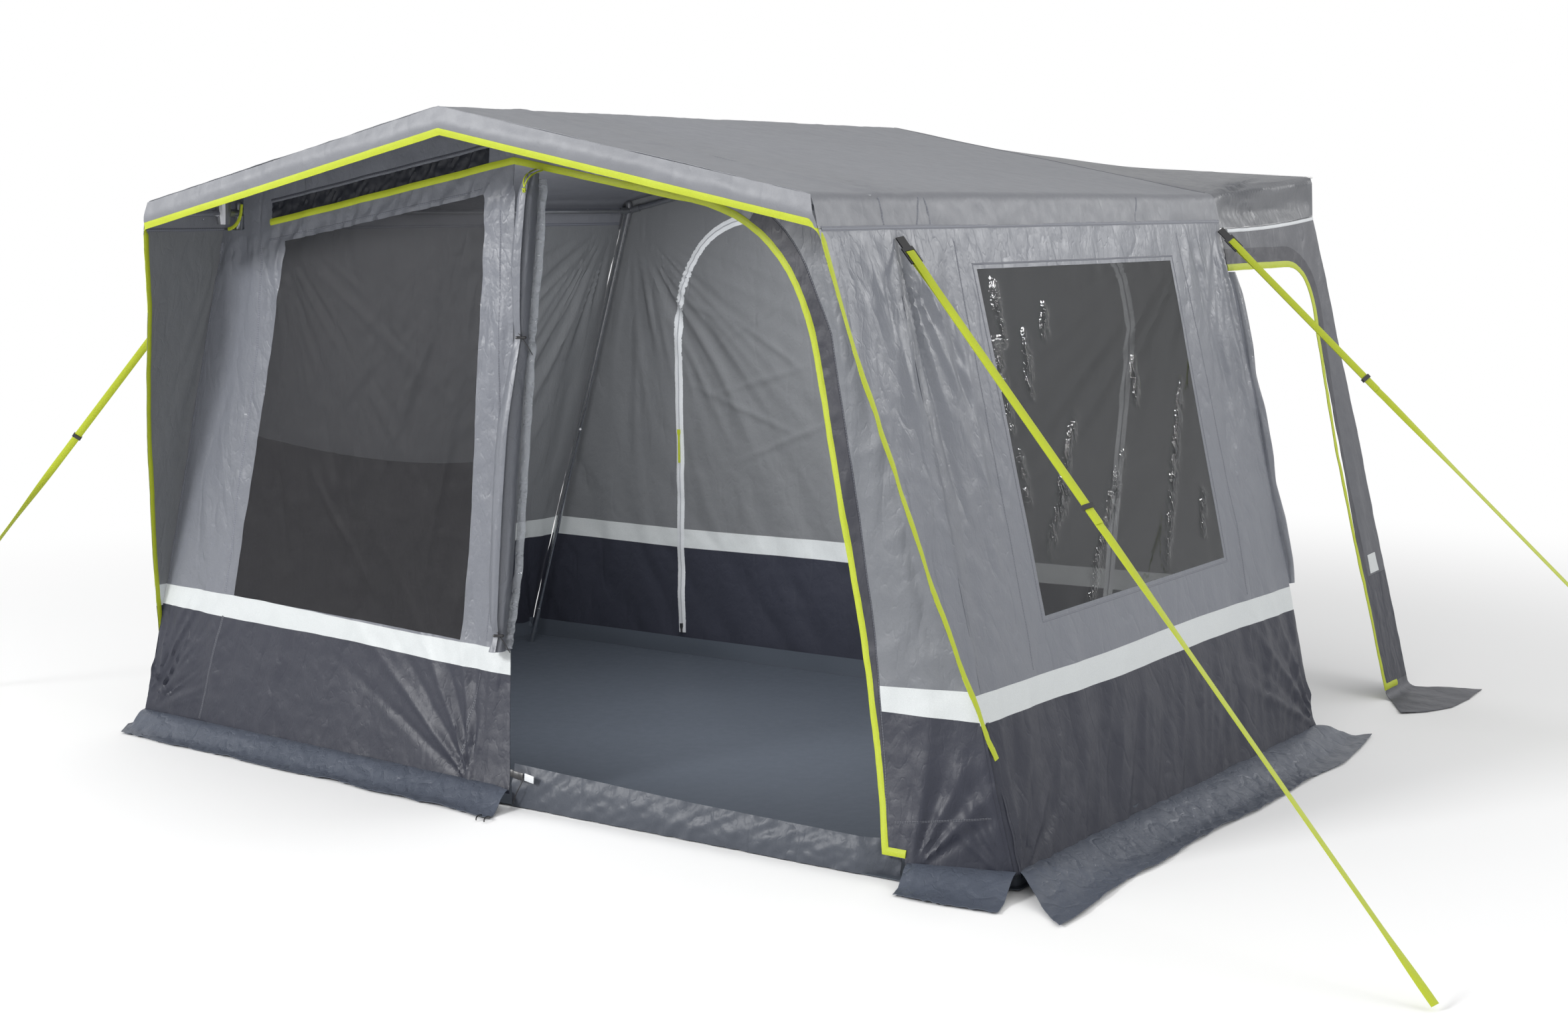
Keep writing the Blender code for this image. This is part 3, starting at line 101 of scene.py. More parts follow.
def points(x, y, z):
    """Arrays of coordinates as one array of points."""
    return np.stack(np.broadcast_arrays(x, y, z), -1).astype(float)


def ramp(distance, width):
    """0 up to a place, 1 from a width beyond it, and straight between."""
    return np.clip(distance / width, 0, 1)


def side_x(z):
    return BASE_X - SIDE_SLOPE * z


def lean(z):
    """1 at the ground and 0 from the eaves upwards."""
    return np.maximum(0.0, 1 - z / EAVE)


def front_y(z):
    return -HALF_DEPTH - FRONT_FLARE * lean(z)


def rear_y(z):
    return HALF_DEPTH - REAR_LEAN * lean(z)


def roof_z(x):
    return RIDGE - ROOF_SLOPE * np.abs(x)


def bow(z):
    """How far the front wall's foot swings outwards beside the open door."""
    return BOW_DEPTH * np.maximum(0.0, 1 - z / BOW_HEIGHT) ** 2


def front_wall(x, z):
    left = (x + BASE_X) / (DOOR_LEFT + BASE_X)
    right = (BASE_X - x) / (BASE_X - BOW_RIGHT)
    reach = np.clip(np.where(x < DOOR_LEFT, left, right), 0, 1)
    return points(x, front_y(z) - reach * bow(z), z)


def rear_wall(u, z):
    return points(-u, rear_y(z), z)


def right_wall(y, z):
    return points(side_x(z), y, z)


WING_BEND, WING_FREE_FROM = 0.040, 1.735


def left_wall(u, z):
    """Seen from outside, u runs from the rear to the front. The wing bends a little inwards."""
    wing = np.maximum(0.0, u - HALF_DEPTH) / (-PORCH_Y - HALF_DEPTH)
    free = ramp(WING_FREE_FROM - z, 0.25)
    return points(-side_x(z) + WING_BEND * free * wing ** 1.6, -u, z)


print("side wall leans", round(math.degrees(math.atan(SIDE_SLOPE)), 1), "degrees")

# %% [markdown]
# ## Noise for crumpled cloth
# Cloth under tension makes long folds along the pull, and stored cloth keeps short creases from its
# bag. Both come from smooth noise: stretched out along the pull for the first, and folded over at
# zero for the second, which turns soft hills into sharp ridges.

# %% Noise and folds
GRADIENTS = {}


def swell(u, v, seed):
    """Smooth noise between -1 and 1, with swells about one unit across."""
    if seed not in GRADIENTS:
        angle = np.random.default_rng(seed).uniform(0, 2 * math.pi, (64, 64))
        GRADIENTS[seed] = np.stack([np.cos(angle), np.sin(angle)], -1)
    table = GRADIENTS[seed]
    iu, iv = np.floor(u).astype(int), np.floor(v).astype(int)
    fu, fv = u - iu, v - iv
    ease_u = fu ** 3 * (fu * (fu * 6 - 15) + 10)
    ease_v = fv ** 3 * (fv * (fv * 6 - 15) + 10)
    total = 0.0
    for du in (0, 1):
        for dv in (0, 1):
            slope = table[(iu + du) % 64, (iv + dv) % 64]
            height = slope[..., 0] * (fu - du) + slope[..., 1] * (fv - dv)
            weight = (ease_u if du else 1 - ease_u) * (ease_v if dv else 1 - ease_v)
            total = total + weight * height
    return 1.5 * total


def pulled(u, v, angle, length, width, seed):
    """Folds drawn out along a direction, given in degrees from the first coordinate."""
    turn = math.radians(angle)
    along = u * math.cos(turn) + v * math.sin(turn)
    across = -u * math.sin(turn) + v * math.cos(turn)
    return swell(along / length, across / width, seed)


def creased(noise):
    """Narrow ridges where the noise crosses zero."""
    return 1 - 2 * np.minimum(1.0, 2.2 * np.sqrt(noise ** 2 + 0.004) - 0.14)


def stroke(u, v, a, b, width, depth):
    """One fold from a to b that fades out at both ends."""
    (au, av), (bu, bv) = a, b
    length = math.hypot(bu - au, bv - av)
    du, dv = (bu - au) / length, (bv - av) / length
    along = ((u - au) * du + (v - av) * dv) / length
    across = -(u - au) * dv + (v - av) * du
    fade = np.sin(math.pi * np.clip(along, 0, 1)) ** 0.6
    return depth * fade * np.exp(-(across / width) ** 2)


def strokes(u, v, rows, *size):
    """Several folds. A row is two points and, where size doesn't give them, a width and a depth."""
    return sum(stroke(u, v, row[:2], row[2:4], *(size or row[4:])) for row in rows)


def rays(u, v, at, towards, spread, count, reach, depth, seed):
    """Sharp creases that run out from a point where the cloth is held."""
    distance = np.hypot(u - at[0], v - at[1])
    angle = np.arctan2(v - at[1], u - at[0]) - math.radians(towards)
    angle = (angle + math.pi) % (2 * math.pi) - math.pi
    inside = np.exp(-(angle / math.radians(spread)) ** 2)
    rise = np.minimum(distance / (0.35 * reach), 1) ** 1.5
    ridge = creased(swell(angle * count, distance / (0.9 * reach), seed))
    return depth * inside * rise * np.exp(-(distance / reach) ** 2) * ridge


def fan(u, v, at, angles, reach, depth):
    """Straight creases that spread from a point where the cloth is held."""
    total = 0.0
    for number, angle in enumerate(angles):
        du, dv = math.cos(math.radians(angle)), math.sin(math.radians(angle))
        along = ramp((u - at[0]) * du + (v - at[1]) * dv, reach)
        across = (v - at[1]) * du - (u - at[0]) * dv
        width = 0.007 + 0.018 * along
        ridge = np.sin(math.pi * np.sqrt(along)) * np.exp(-(across / width) ** 2)
        total = total + (-0.7, 1.0)[number % 2] * depth * ridge
    return total


def crumple(u, v, seed, size=0.12, depth=0.0012):
    """Short creases of packed cloth in two sizes."""
    large = creased(swell(u / size, v / size, seed))
    small = creased(swell(2.3 * u / size + 7, 2.3 * v / size + 3, seed + 1))
    return depth * (large + 0.5 * small)


print("a fold's height at a point:", round(float(swell(np.array(0.3), np.array(0.6), 1)), 3))

# %% [markdown]
# ## Cutting a pattern piece
# A pattern piece is a flat outline, perhaps with holes. Blender's Delaunay function fills it with
# triangles that keep the outline sharp. Points inside are set out in staggered rows, and those too
# near an edge are left out, because they would make thin triangles.

# %% Cutting
def stepped(loop, step):
    """A closed outline with a point at least every step."""
    out = []
    for (a, b), (c, d) in zip(loop, loop[1:] + loop[:1]):
        parts = max(1, round(math.hypot(c - a, d - b) / step))
        out += [(a + (c - a) * i / parts, b + (d - b) * i / parts) for i in range(parts)]
    return out


def within(u, v, loop):
    """Which points lie inside a closed outline."""
    inside = np.zeros(np.shape(u), bool)
    for (a, b), (c, d) in zip(loop, loop[1:] + loop[:1]):
        if b != d:
            crosses = (b > v) != (d > v)
            inside ^= crosses & (u < (c - a) * (v - b) / (d - b) + a)
    return inside


def clear_of(u, v, edge, distance, batch=4000):
    """Which points lie farther than distance from every point of an edge."""
    keep = np.ones(len(u), bool)
    edge = np.array(edge)
    for i in range(0, len(u), batch):
        part = slice(i, i + batch)
        gap = (u[part, None] - edge[:, 0]) ** 2 + (v[part, None] - edge[:, 1]) ** 2
        keep[part] = gap.min(1) > distance ** 2
    return keep


def within_cut(u, v, outline, holes):
    """Which points lie inside a pattern piece and outside its holes."""
    keep = within(u, v, outline)
    for hole in holes:
        keep &= ~within(u, v, hole)
    return keep


def pattern(outline, holes, step):
    """Flat points and triangles that fill an outline and leave its holes open."""
    loops = [stepped(loop, step) for loop in [outline, *holes]]
    edge_points = [p for loop in loops for p in loop]
    edges, start = [], 0
    for loop in loops:
        count = len(loop)
        edges += [(start + i, start + (i + 1) % count) for i in range(count)]
        start += count
    low, high = np.min(loops[0], 0), np.max(loops[0], 0)
    rows = np.arange(low[1] + step / 2, high[1], step * 0.87)
    columns = np.arange(low[0], high[0] + step, step)
    v, u = np.meshgrid(rows, columns, indexing="ij")
    u = u + (np.arange(len(rows)) % 2)[:, None] * step / 2
    u, v = u.ravel(), v.ravel()
    keep = within_cut(u, v, outline, holes)
    u, v = u[keep], v[keep]
    far = clear_of(u, v, edge_points, 0.6 * step)
    flat = edge_points + list(zip(u[far], v[far]))
    verts, _, faces, *_ = geometry.delaunay_2d_cdt([Vector(p) for p in flat], edges, [], 1, 1e-7)
    flat = np.array([tuple(p) for p in verts])
    faces = np.array([tuple(f) for f in faces])
    middle = flat[faces].mean(1)
    faces = faces[within_cut(middle[:, 0], middle[:, 1], outline, holes)]
    a, b, c = (flat[faces[:, i]] for i in range(3))
    turn = (b[:, 0] - a[:, 0]) * (c[:, 1] - a[:, 1]) - (b[:, 1] - a[:, 1]) * (c[:, 0] - a[:, 0])
    faces[turn < 0] = faces[turn < 0][:, ::-1]
    used = np.unique(faces)
    renumber = np.zeros(len(flat), int)
    renumber[used] = np.arange(len(used))
    return flat[used], renumber[faces]


square = pattern([(0, 0), (1, 0), (1, 1), (0, 1)], [], 0.25)
print("a square metre, coarsely cut:", len(square[0]), "points and", len(square[1]), "triangles")

# %% [markdown]
# ## Sewing a panel
# The flat points are lifted onto the surface and wrinkled. They are then doubled inwards by the
# cloth's thickness, because a closed thin shell casts proper shadows and is a real solid.

# %% Sewing
def facing(surface, u, v, step=0.002):
    """The outward direction of a surface at each point."""
    along = surface(u + step, v) - surface(u - step, v)
    up = surface(u, v + step) - surface(u, v - step)
    out = np.cross(along, up)
    return out / np.linalg.norm(out, axis=-1, keepdims=True)


def add_mesh(name, verts, faces, smooth=True, angle=40):
    """A new object from points and faces, shaded smooth up to an angle between faces."""
    mesh = bpy.data.meshes.new(name)
    mesh.from_pydata([tuple(p) for p in verts], [], [tuple(int(i) for i in f) for f in faces])
    if smooth:
        mesh.shade_smooth()
        mesh.set_sharp_from_angle(angle=math.radians(angle))
    obj = bpy.data.objects.new(name, mesh)
    bpy.context.collection.objects.link(obj)
    return obj


def border_of(faces):
    """The directed edges that only one triangle uses."""
    edges = np.concatenate([faces[:, [0, 1]], faces[:, [1, 2]], faces[:, [2, 0]]])
    seen = {tuple(e) for e in edges.tolist()}
    return [(a, b) for a, b in edges.tolist() if (b, a) not in seen]


def thicken(name, outer, inner, faces):
    """A closed shell between two layers of points that share the same triangles."""
    count = len(outer)
    border = border_of(faces)
    solid = faces.tolist() + (faces[:, ::-1] + count).tolist()
    solid += [(b, a, count + a, count + b) for a, b in border]
    return add_mesh(name, np.concatenate([outer, inner]), solid)


SLENDER = 0.31      # a cut that fills less of its box than this is a bent strip


def area_of(loop):
    """The area inside a closed flat outline."""
    u, v = np.array(loop, float).T
    return abs(float(np.sum(u * np.roll(v, -1) - np.roll(u, -1) * v))) / 2


def remember_cut(outline, holes):
    """Works out a pattern piece's width, length and area, which nothing keeps."""
    wide, long = np.ptp(np.array(outline, float), axis=0)
    area = area_of(outline) - sum(area_of(h) for h in holes)
    if area < SLENDER * wide * long:
        long = float(np.hypot(wide, long))
        wide = area / long
        area = wide * long


def sew(name, surface, outline, holes=(), folds=None, step=0.012, thick=CLOTH, behind=0.0):
    """A wrinkled cloth panel on a surface. behind pushes it inwards, below another layer."""
    remember_cut(outline, holes)
    flat, faces = pattern(outline, holes, step)
    u, v = flat[:, 0], flat[:, 1]
    out = facing(surface, u, v)
    lift = (folds(u, v) if folds else 0.0) - behind
    outer = surface(u, v) + out * np.reshape(lift, (-1, 1))
    return thicken(name, outer, outer - out * thick, faces)


print("sewing tools ready")

# %% [markdown]
# ## Tapes
# Bindings, zips and seams are tapes along a path on a cloth. A tape's section closes round the cloth
# on both faces. Two numbers are kept for each point, `run` along the tape and `side` across it, so
# that a material can draw stitches there.

# %% Paths and tapes
def rounded(start, corner, end, steps=8):
    """A soft corner from start to end that leans towards corner."""
    t = np.linspace(0, 1, steps + 1)[:, None]
    a, b, c = (np.array(p) for p in (start, corner, end))
    return [tuple(p) for p in (1 - t) ** 2 * a + 2 * t * (1 - t) * b + t * t * c]


def offset(path, distance):
    """An open flat path moved to its left by distance."""
    p = np.array(path, float)
    step = np.diff(p, axis=0)
    step /= np.linalg.norm(step, axis=1, keepdims=True)
    left = np.stack([-step[:, 1], step[:, 0]], 1)
    first, last = np.vstack([left[:1], left]), np.vstack([left, left[-1:]])
    mitre = (first + last) / (1 + (first * last).sum(1, keepdims=True))
    return [tuple(q) for q in p + mitre * distance]


def dense(path, step=0.012):
    """An open path with a point at least every step."""
    out = [path[0]]
    for a, b in zip(path, path[1:]):
        a, b = np.array(a, float), np.array(b, float)
        parts = max(1, math.ceil(np.linalg.norm(b - a) / step))
        out += [tuple(a + (b - a) * i / parts) for i in range(1, parts + 1)]
    return out


def run_of(line):
    """The length along a line up to each of its points."""
    return np.concatenate([[0], np.cumsum(np.linalg.norm(np.diff(line, axis=0), axis=1))])


def mark(obj, name, values):
    """Keeps one number for each point of a mesh, for a material to read."""
    obj.data.attributes.new(name, "FLOAT", "POINT").data.foreach_set("value", values)


def loft(name, rings, angle=50):
    """A closed tube through rings of points, which remembers the length along it."""
    rings = np.array(rings, float)
    count, around = rings.shape[:2]
    faces = []
    for i in range(count - 1):
        for k in range(around):
            n = (k + 1) % around
            faces.append((i * around + k, i * around + n, (i + 1) * around + n, (i + 1) * around + k))
    last = (count - 1) * around
    faces += [tuple(reversed(range(around))), tuple(last + k for k in range(around))]
    obj = add_mesh(name, rings.reshape(-1, 3), faces, angle=angle)
    mark(obj, "run", np.repeat(run_of(rings.mean(1)), around))
    fix_normals(obj)
    return obj


SIDES = (-1.0, -0.5, 0.0, 0.5, 1.0)
FULLNESS = np.array([0.35, 1.0, 1.15, 1.0, 0.35])[:, None]


def tape_rings(surface, path, width, folds=None, inner=0.0032, outer=0.0020, step=0.012):
    """The sections of a tape that follows a cloth's folds and closes round it on both faces."""
    path = dense([tuple(p) for p in path], step)
    flat = np.array([offset(path, -s * width / 2) for s in SIDES]).transpose(1, 0, 2)
    u, v = flat[..., 0], flat[..., 1]
    out = facing(surface, u, v)
    base = surface(u, v) + out * np.expand_dims(folds(u, v) if folds else np.zeros(u.shape), -1)
    top, bottom = base + out * (FULLNESS * outer), base - out * (FULLNESS * inner)
    return np.concatenate([top, bottom[:, ::-1]], 1)


def tape(name, rings):
    """A closed tape from its sections, which remembers how far each point is from its middle."""
    obj = loft(name, rings)
    mark(obj, "side", np.tile(SIDES + SIDES[::-1], len(rings)))
    return obj


def fix_normals(obj):
    """Turns every face outwards."""
    work = bmesh.new()
    work.from_mesh(obj.data)
    bmesh.ops.recalc_face_normals(work, faces=work.faces)
    work.to_mesh(obj.data)
    work.free()


print("tape tools ready")

# %% [markdown]
# ## Shader maths as Python
# A material is a small graph of nodes. Written node by node it is long and hard to read, so a socket
# is wrapped in a class whose operators add the Math, Vector Math or Mix node that they stand for.

# %% Sockets that can be added and multiplied
class Wire:
    """A node's output, used in Python expressions."""

    def __init__(self, tree, socket):
        self.tree, self.socket = tree, socket

    def join(self, operation, other, swapped=False):
        """The node that this and another value need: for colours, vectors or plain numbers."""
        kinds = {w.socket.type for w in (self, other) if isinstance(w, Wire)}
        pair = (other, self) if swapped else (self, other)
        if "RGBA" in kinds:
            settings = {"data_type": "RGBA", "blend_type": operation}
            pair = [(p, p, p, 1.0) if isinstance(p, float) else p for p in pair]
            return self.tree.node("ShaderNodeMix", settings, "Result", Factor=1.0, A=pair[0], B=pair[1])
        kind = "ShaderNodeMath"
        if "VECTOR" in kinds:
            kind = "ShaderNodeVectorMath"
            pair = [(p, p, p) if isinstance(p, float) else p for p in pair]
        return self.tree.node(kind, {"operation": operation}, 0, *pair)

    def __add__(self, other):
        return self.join("ADD", other)

    def __radd__(self, other):
        return self.join("ADD", other, True)

    def __sub__(self, other):
        return self.join("SUBTRACT", other)

    def __rsub__(self, other):
        return self.join("SUBTRACT", other, True)

    def __mul__(self, other):
        return self.join("MULTIPLY", other)

    def __rmul__(self, other):
        return self.join("MULTIPLY", other, True)

    def math(self, operation, *others):
        return self.tree.node("ShaderNodeMath", {"operation": operation}, 0, self, *others)

    def between(self, low, high):
        """0 below low, 1 above high and a smooth step between."""
        settings = {"interpolation_type": "SMOOTHSTEP"}
        return self.tree.node("ShaderNodeMapRange", settings, "Result", Value=self,
                              **{"From Min": low, "From Max": high})

    def blend(self, first, second):
        """The first colour where this is 0, the second where it is 1."""
        return self.tree.node("ShaderNodeMix", {"data_type": "RGBA"}, "Result", Factor=self,
                              A=first, B=second)


print("sockets can be added, taken away and multiplied")

# %% [markdown]
# ## One method for every other node
# Any other node comes from `node`, which takes its type, its settings and its sockets' values. A few
# short methods give the nodes that most materials share.

# %% Materials as calls
class Finish:
    """A material, or the world, whose nodes are made by calls."""

    def __init__(self, name, holder=None):
        self.material = holder or bpy.data.materials.new(name)
        self.material.use_nodes = True
        self.nodes, self.links = self.material.node_tree.nodes, self.material.node_tree.links
        self.nodes.clear()

    def feed(self, socket, value):
        """Links a wire to a socket, or sets the socket's own value."""
        if isinstance(value, Wire):
            self.links.new(value.socket, socket)
        elif isinstance(value, (tuple, list)) and socket.type == "RGBA" and len(value) == 3:
            socket.default_value = (*value, 1.0)
        else:
            socket.default_value = value

    def node(self, kind, settings=None, output=0, *ordered, **named):
        """Adds a node: settings first, then its sockets in order or by name."""
        made = self.nodes.new(kind)
        for key, value in (settings or {}).items():
            setattr(made, key, value)
        for socket, value in zip(made.inputs, ordered):
            self.feed(socket, value)
        usable = [s for s in made.inputs if s.enabled]
        for name, value in named.items():
            self.feed(next(s for s in usable if s.name == name), value)
        outs = [s for s in made.outputs if s.enabled]
        found = outs[output] if isinstance(output, int) else next(s for s in outs if s.name == output)
        return Wire(self, found)

    def place(self):
        """The point on the object, in metres."""
        return self.node("ShaderNodeTexCoord", None, "Object")

    def stretched(self, x, y, z):
        """The point on the object, scaled along each axis."""
        return self.node("ShaderNodeVectorMath", {"operation": "MULTIPLY"}, 0, self.place(), (x, y, z))

    def noise(self, scale, detail=2.0, where=None, roughness=0.5):
        """Soft noise from 0 to 1 with some swells to the metre."""
        return self.node("ShaderNodeTexNoise", None, "Fac", Vector=where or self.place(), Scale=scale,
                         Detail=detail, Roughness=roughness)

    def marked(self, name):
        """The numbers that mark() kept on the mesh."""
        return self.node("ShaderNodeAttribute", {"attribute_name": name}, "Fac")

    def shaded(self, colour, level):
        """A colour made lighter or darker by a level near 1."""
        grey = self.node("ShaderNodeCombineColor", None, 0, level, level, level)
        return self.node("ShaderNodeMix", {"data_type": "RGBA", "blend_type": "MULTIPLY"}, "Result",
                         Factor=1.0, A=colour, B=grey)

    def relief(self, height, distance, under=None):
        """A bump of some metres for a height of 1, on top of the relief under it."""
        below = {"Normal": under} if under else {}
        return self.node("ShaderNodeBump", None, "Normal", Strength=1.0, Distance=distance,
                         Height=height, **below)

    def surface(self, through=0.0, through_colour=None, **inputs):
        """The Principled shader, with a share of light let through for thin cloth."""
        names = {"colour": "Base Color", "roughness": "Roughness", "metal": "Metallic",
                 "normal": "Normal", "alpha": "Alpha", "gloss": "Specular IOR Level"}
        shader = self.node("ShaderNodeBsdfPrincipled", None, "BSDF",
                           **{names[k]: v for k, v in inputs.items()})
        if through:
            back = self.node("ShaderNodeBsdfTranslucent", None, "BSDF", Color=through_colour,
                             Normal=inputs["normal"])
            shader = self.node("ShaderNodeMixShader", None, 0, through, shader, back)
        return self.close(shader)

    def close(self, shader, kind="ShaderNodeOutputMaterial"):
        """Joins the last shader to the output."""
        self.links.new(shader.socket, self.nodes.new(kind).inputs["Surface"])
        return self.material


print("shader tools ready")

# %% [markdown]
# ## Cloths
# The walls are coated polyester. It has a weave too fine to see from a few metres, small creases from
# its bag that catch the light, slight shade changes, and it lets some daylight through. All of that
# is noise at three sizes. One function makes every cloth, and only its numbers differ.

# %% Cloth materials
WEAVE, FINE_SHADE, BAG_CREASE, LONG_CREASE, SHADE_SIZE = 900.0, 330.0, 24.0, 8.0, 2.2


def srgb(r, g, b):
    """A colour as seen, from 0 to 255, as Blender's linear numbers."""
    return tuple((c / 255 / 12.92 if c < 10 else ((c / 255 + 0.055) / 1.055) ** 2.4) for c in (r, g, b))


def cloth_finish(name, seen, rough=0.46, through=0.0, crinkle=1.0, shade=0.05, size=1.0, glow=1.0,
                 gloss=0.42, **more):
    """A cloth of a seen colour. crinkle scales its creases' height and size their length."""
    f, colour = Finish(name), srgb(*seen)
    tone = f.noise(SHADE_SIZE / size, 3.0) - 0.5
    fine = f.noise(FINE_SHADE, 2.0) - 0.5
    base = f.shaded(colour, tone * (2 * shade) + fine * 0.26 + 1.0)
    fold = f.noise(BAG_CREASE / size, 3.0, roughness=0.6)
    long = f.noise(LONG_CREASE / size, 2.0, f.stretched(1.0, 1.0, 0.36))
    short = f.noise(BAG_CREASE / size, 2.0, f.stretched(1.0, 1.0, 0.5))
    normal = f.relief(f.noise(WEAVE, 0.0), 0.00012)
    for height, depth in ((fold, 0.0016), ((short - 0.5).math("ABSOLUTE").math("MINIMUM", 0.05), 0.0075),
                          ((long - 0.5).math("ABSOLUTE").math("MINIMUM", 0.06), 0.0200)):
        normal = f.relief(height, depth * crinkle, normal)
    return f.surface(through=through, through_colour=tuple(min(1.0, c * glow) for c in colour),
                     colour=base, roughness=fold * 0.20 + (rough - 0.10), normal=normal, gloss=gloss, **more)


CLOTHS = {
    "light": ("light_cloth", (130, 133, 141), dict(rough=0.38, through=0.28, crinkle=1.5, glow=1.8)),
    "wall": ("wall_cloth", (130, 133, 141), dict(rough=0.40, through=0.28, crinkle=0.95, glow=1.8)),
    # inner: the light cloth made darker, painted shade for walls seen from inside the room
    "inner": ("painted_shade_inner_cloth", (126, 128, 131), dict(rough=0.44, through=0.28, crinkle=0.9, glow=2.0)),
    # shade: the light cloth made darker, painted shade under the porch roof and on the tunnel's left side
    "shade": ("painted_shade_cloth", (123, 126, 132), dict(rough=0.44, through=0.25, glow=1.8)),
    "side": ("tunnel_side", (90, 92, 99), dict(rough=0.5, through=0.2, crinkle=0.7)),
    "roof": ("roof_cloth", (131, 133, 139), dict(rough=0.5, through=0.22, crinkle=0.4, glow=2.0)),
    "canopy": ("tunnel_canopy", (108, 110, 115), dict(rough=0.42, through=0.2, crinkle=0.7, glow=2.0)),
    "dark": ("dark_cloth", (56, 58, 68), dict(rough=0.44, through=0.08, crinkle=0.9, gloss=0.22)),
    "band": ("dark_band", (56, 57, 65), dict(through=0.08, crinkle=0.7, gloss=0.26)),
    "stripe": ("white_stripe", (211, 215, 216), dict(rough=0.5, through=0.15, crinkle=0.4, shade=0.02)),
    "ground": ("ground_cloth", (78, 84, 93), dict(rough=0.52, crinkle=0.15, shade=0.07, gloss=0.3)),
    "sill": ("sill_cloth", (76, 80, 88), dict(rough=0.42, crinkle=0.9, gloss=0.18)),
    "flap": ("flap_cloth", (78, 84, 96), dict(rough=0.42, crinkle=1.6, gloss=0.32)),
    "lime": ("lime_tape", (176, 188, 46), dict(rough=0.6, crinkle=0.15, shade=0.03, size=0.2, gloss=0.3)),
    "mesh": ("mesh", (50, 50, 53), dict(rough=0.6, gloss=0.12, alpha=0.52)),
    # vent: near-black cloth, painted shade of the recessed strip under the roof left of the door
    "vent": ("painted_shade_strip", (34, 36, 43), dict(rough=0.5, crinkle=0.4, gloss=0.3)),
    "drop": ("drop_flap", (30, 28, 31), dict(rough=0.5, crinkle=0.8, gloss=0.2)),
    "zip": ("zip_tape", (208, 211, 214), dict(rough=0.55, crinkle=0.1, size=0.2)),
    "coil": ("zip_coil", (158, 161, 166), dict(rough=0.4, crinkle=0.1, size=0.2)),
}
finishes = {key: cloth_finish(name, seen, **looks) for key, (name, seen, looks) in CLOTHS.items()}
print("cloths:", ", ".join(finishes))

# %% [markdown]
# ## Seams, plastic, metal and film
# A seam's two rows of thread come from the tape's own attributes, `side` and `run`. Plastic and metal
# get a slightly uneven gloss. The clear film is crinkled only where its `crease` attribute says so.

# %% Other materials
THREADS_PER_METRE, THREAD_ROW = 130.0, 0.55


def seam_finish(name, ground, thread):
    """A double-stitched seam: two dashed rows of thread on a strip of the same cloth."""
    f = Finish(name)
    from_row = (f.marked("side").math("ABSOLUTE") - THREAD_ROW).math("ABSOLUTE")
    dash = (f.marked("run") * THREADS_PER_METRE).math("FRACT").between(0.18, 0.34)
    thread_here = from_row.between(0.30, 0.12) * dash
    height = thread_here * 0.6 - from_row.between(0.5, 0.1) * 1.0
    return f.surface(colour=thread_here.blend(srgb(*ground), srgb(*thread)),
                     roughness=thread_here * -0.1 + 0.55, normal=f.relief(height, 0.0012), gloss=0.3)


def plain_finish(name, colour, rough, metal=0.0, grain=0.00003):
    """Moulded plastic or metal: small scratches and a slightly uneven gloss."""
    f = Finish(name)
    uneven = f.noise(60.0, 3.0)
    return f.surface(colour=f.shaded(colour, uneven * 0.12 + 0.94), roughness=uneven * 0.14 + (rough - 0.07),
                     metal=metal, normal=f.relief(f.noise(700.0, 1.0), grain))


def film_finish(name, seen, alpha, calm):
    """Clear film: smooth and dark, and crinkled where its attribute says that it was creased."""
    f = Finish(name)
    crease = f.marked("crease") + calm
    lumps = f.noise(150.0, 0.0) + f.noise(60.0, 1.0) * 1.6
    return f.surface(colour=srgb(*seen), roughness=f.noise(20.0) * 0.04 + 0.01,
                     normal=f.relief(lumps * crease, 0.0048), gloss=0.25,
                     alpha=(crease * 0.12).math("ADD", alpha))


finishes.update({
    "seam": seam_finish("light_seam", (128, 131, 140), (92, 94, 102)),
    "dark_seam": seam_finish("dark_seam", (62, 64, 73), (96, 98, 106)),
    "steel": plain_finish("bright_steel", (0.60, 0.61, 0.63), 0.24, metal=1.0),
    "dark_steel": plain_finish("dark_steel", (0.40, 0.41, 0.43), 0.30, metal=0.9),
    "black": plain_finish("black_plastic", (0.022, 0.022, 0.024), 0.42, grain=0.00006),
    "cord": plain_finish("white_cord", (0.72, 0.72, 0.72), 0.6, grain=0.0002),
    "film": film_finish("clear_film", (34, 36, 38), 0.62, 0.0),
    "glossy_film": film_finish("door_film", (150, 154, 160), 0.40, 0.25)})
print("finishes:", len(finishes))

# %% [markdown]
# ## Dressing a piece
# Each piece gets its material, rides on the frame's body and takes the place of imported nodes. A cloth
# also says what it hangs from or lies on, so that it counts as a sheet of its cut's size.

# %% Dressing
def dress(obj, finish, slot, *nodes, on=None, held="stretched"):
    """Gives a piece its material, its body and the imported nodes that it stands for.
"""
    obj.data.materials.clear()
    obj.data.materials.append(finishes[finish])
    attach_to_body(obj, "shelter")
    if nodes:
        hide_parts(*nodes)
    return obj


def panel(name, side, outline, finish, *nodes, holes=(), slot="light_cloth", on=None,
          held="stretched", **cut):
    """Sews a panel on a side of the awning, given as its surface and its folds, and dresses it."""
    surface, folds = side
    sewn = sew(name, surface, outline, holes, folds, **cut)
    return dress(sewn, finish, slot, *nodes, on=on, held=held)


def bind(name, side, path, width, finish="lime", slot="lime_tape", *nodes, **depth):
    """Sews a tape along a path and dresses it."""
    surface, folds = side
    return dress(tape(name, tape_rings(surface, path, width, folds, **depth)), finish, slot, *nodes)


def stitch(name, side, path, finish="seam", width=0.009):
    """A double-stitched seam along a path on a panel."""
    return bind(name, side, path, width, finish, "light_cloth", inner=0.0020, outer=0.0008)


def at_heights(line, *heights):
    """The points of a line at some heights."""
    return [(float(line(z)), z) for z in heights]


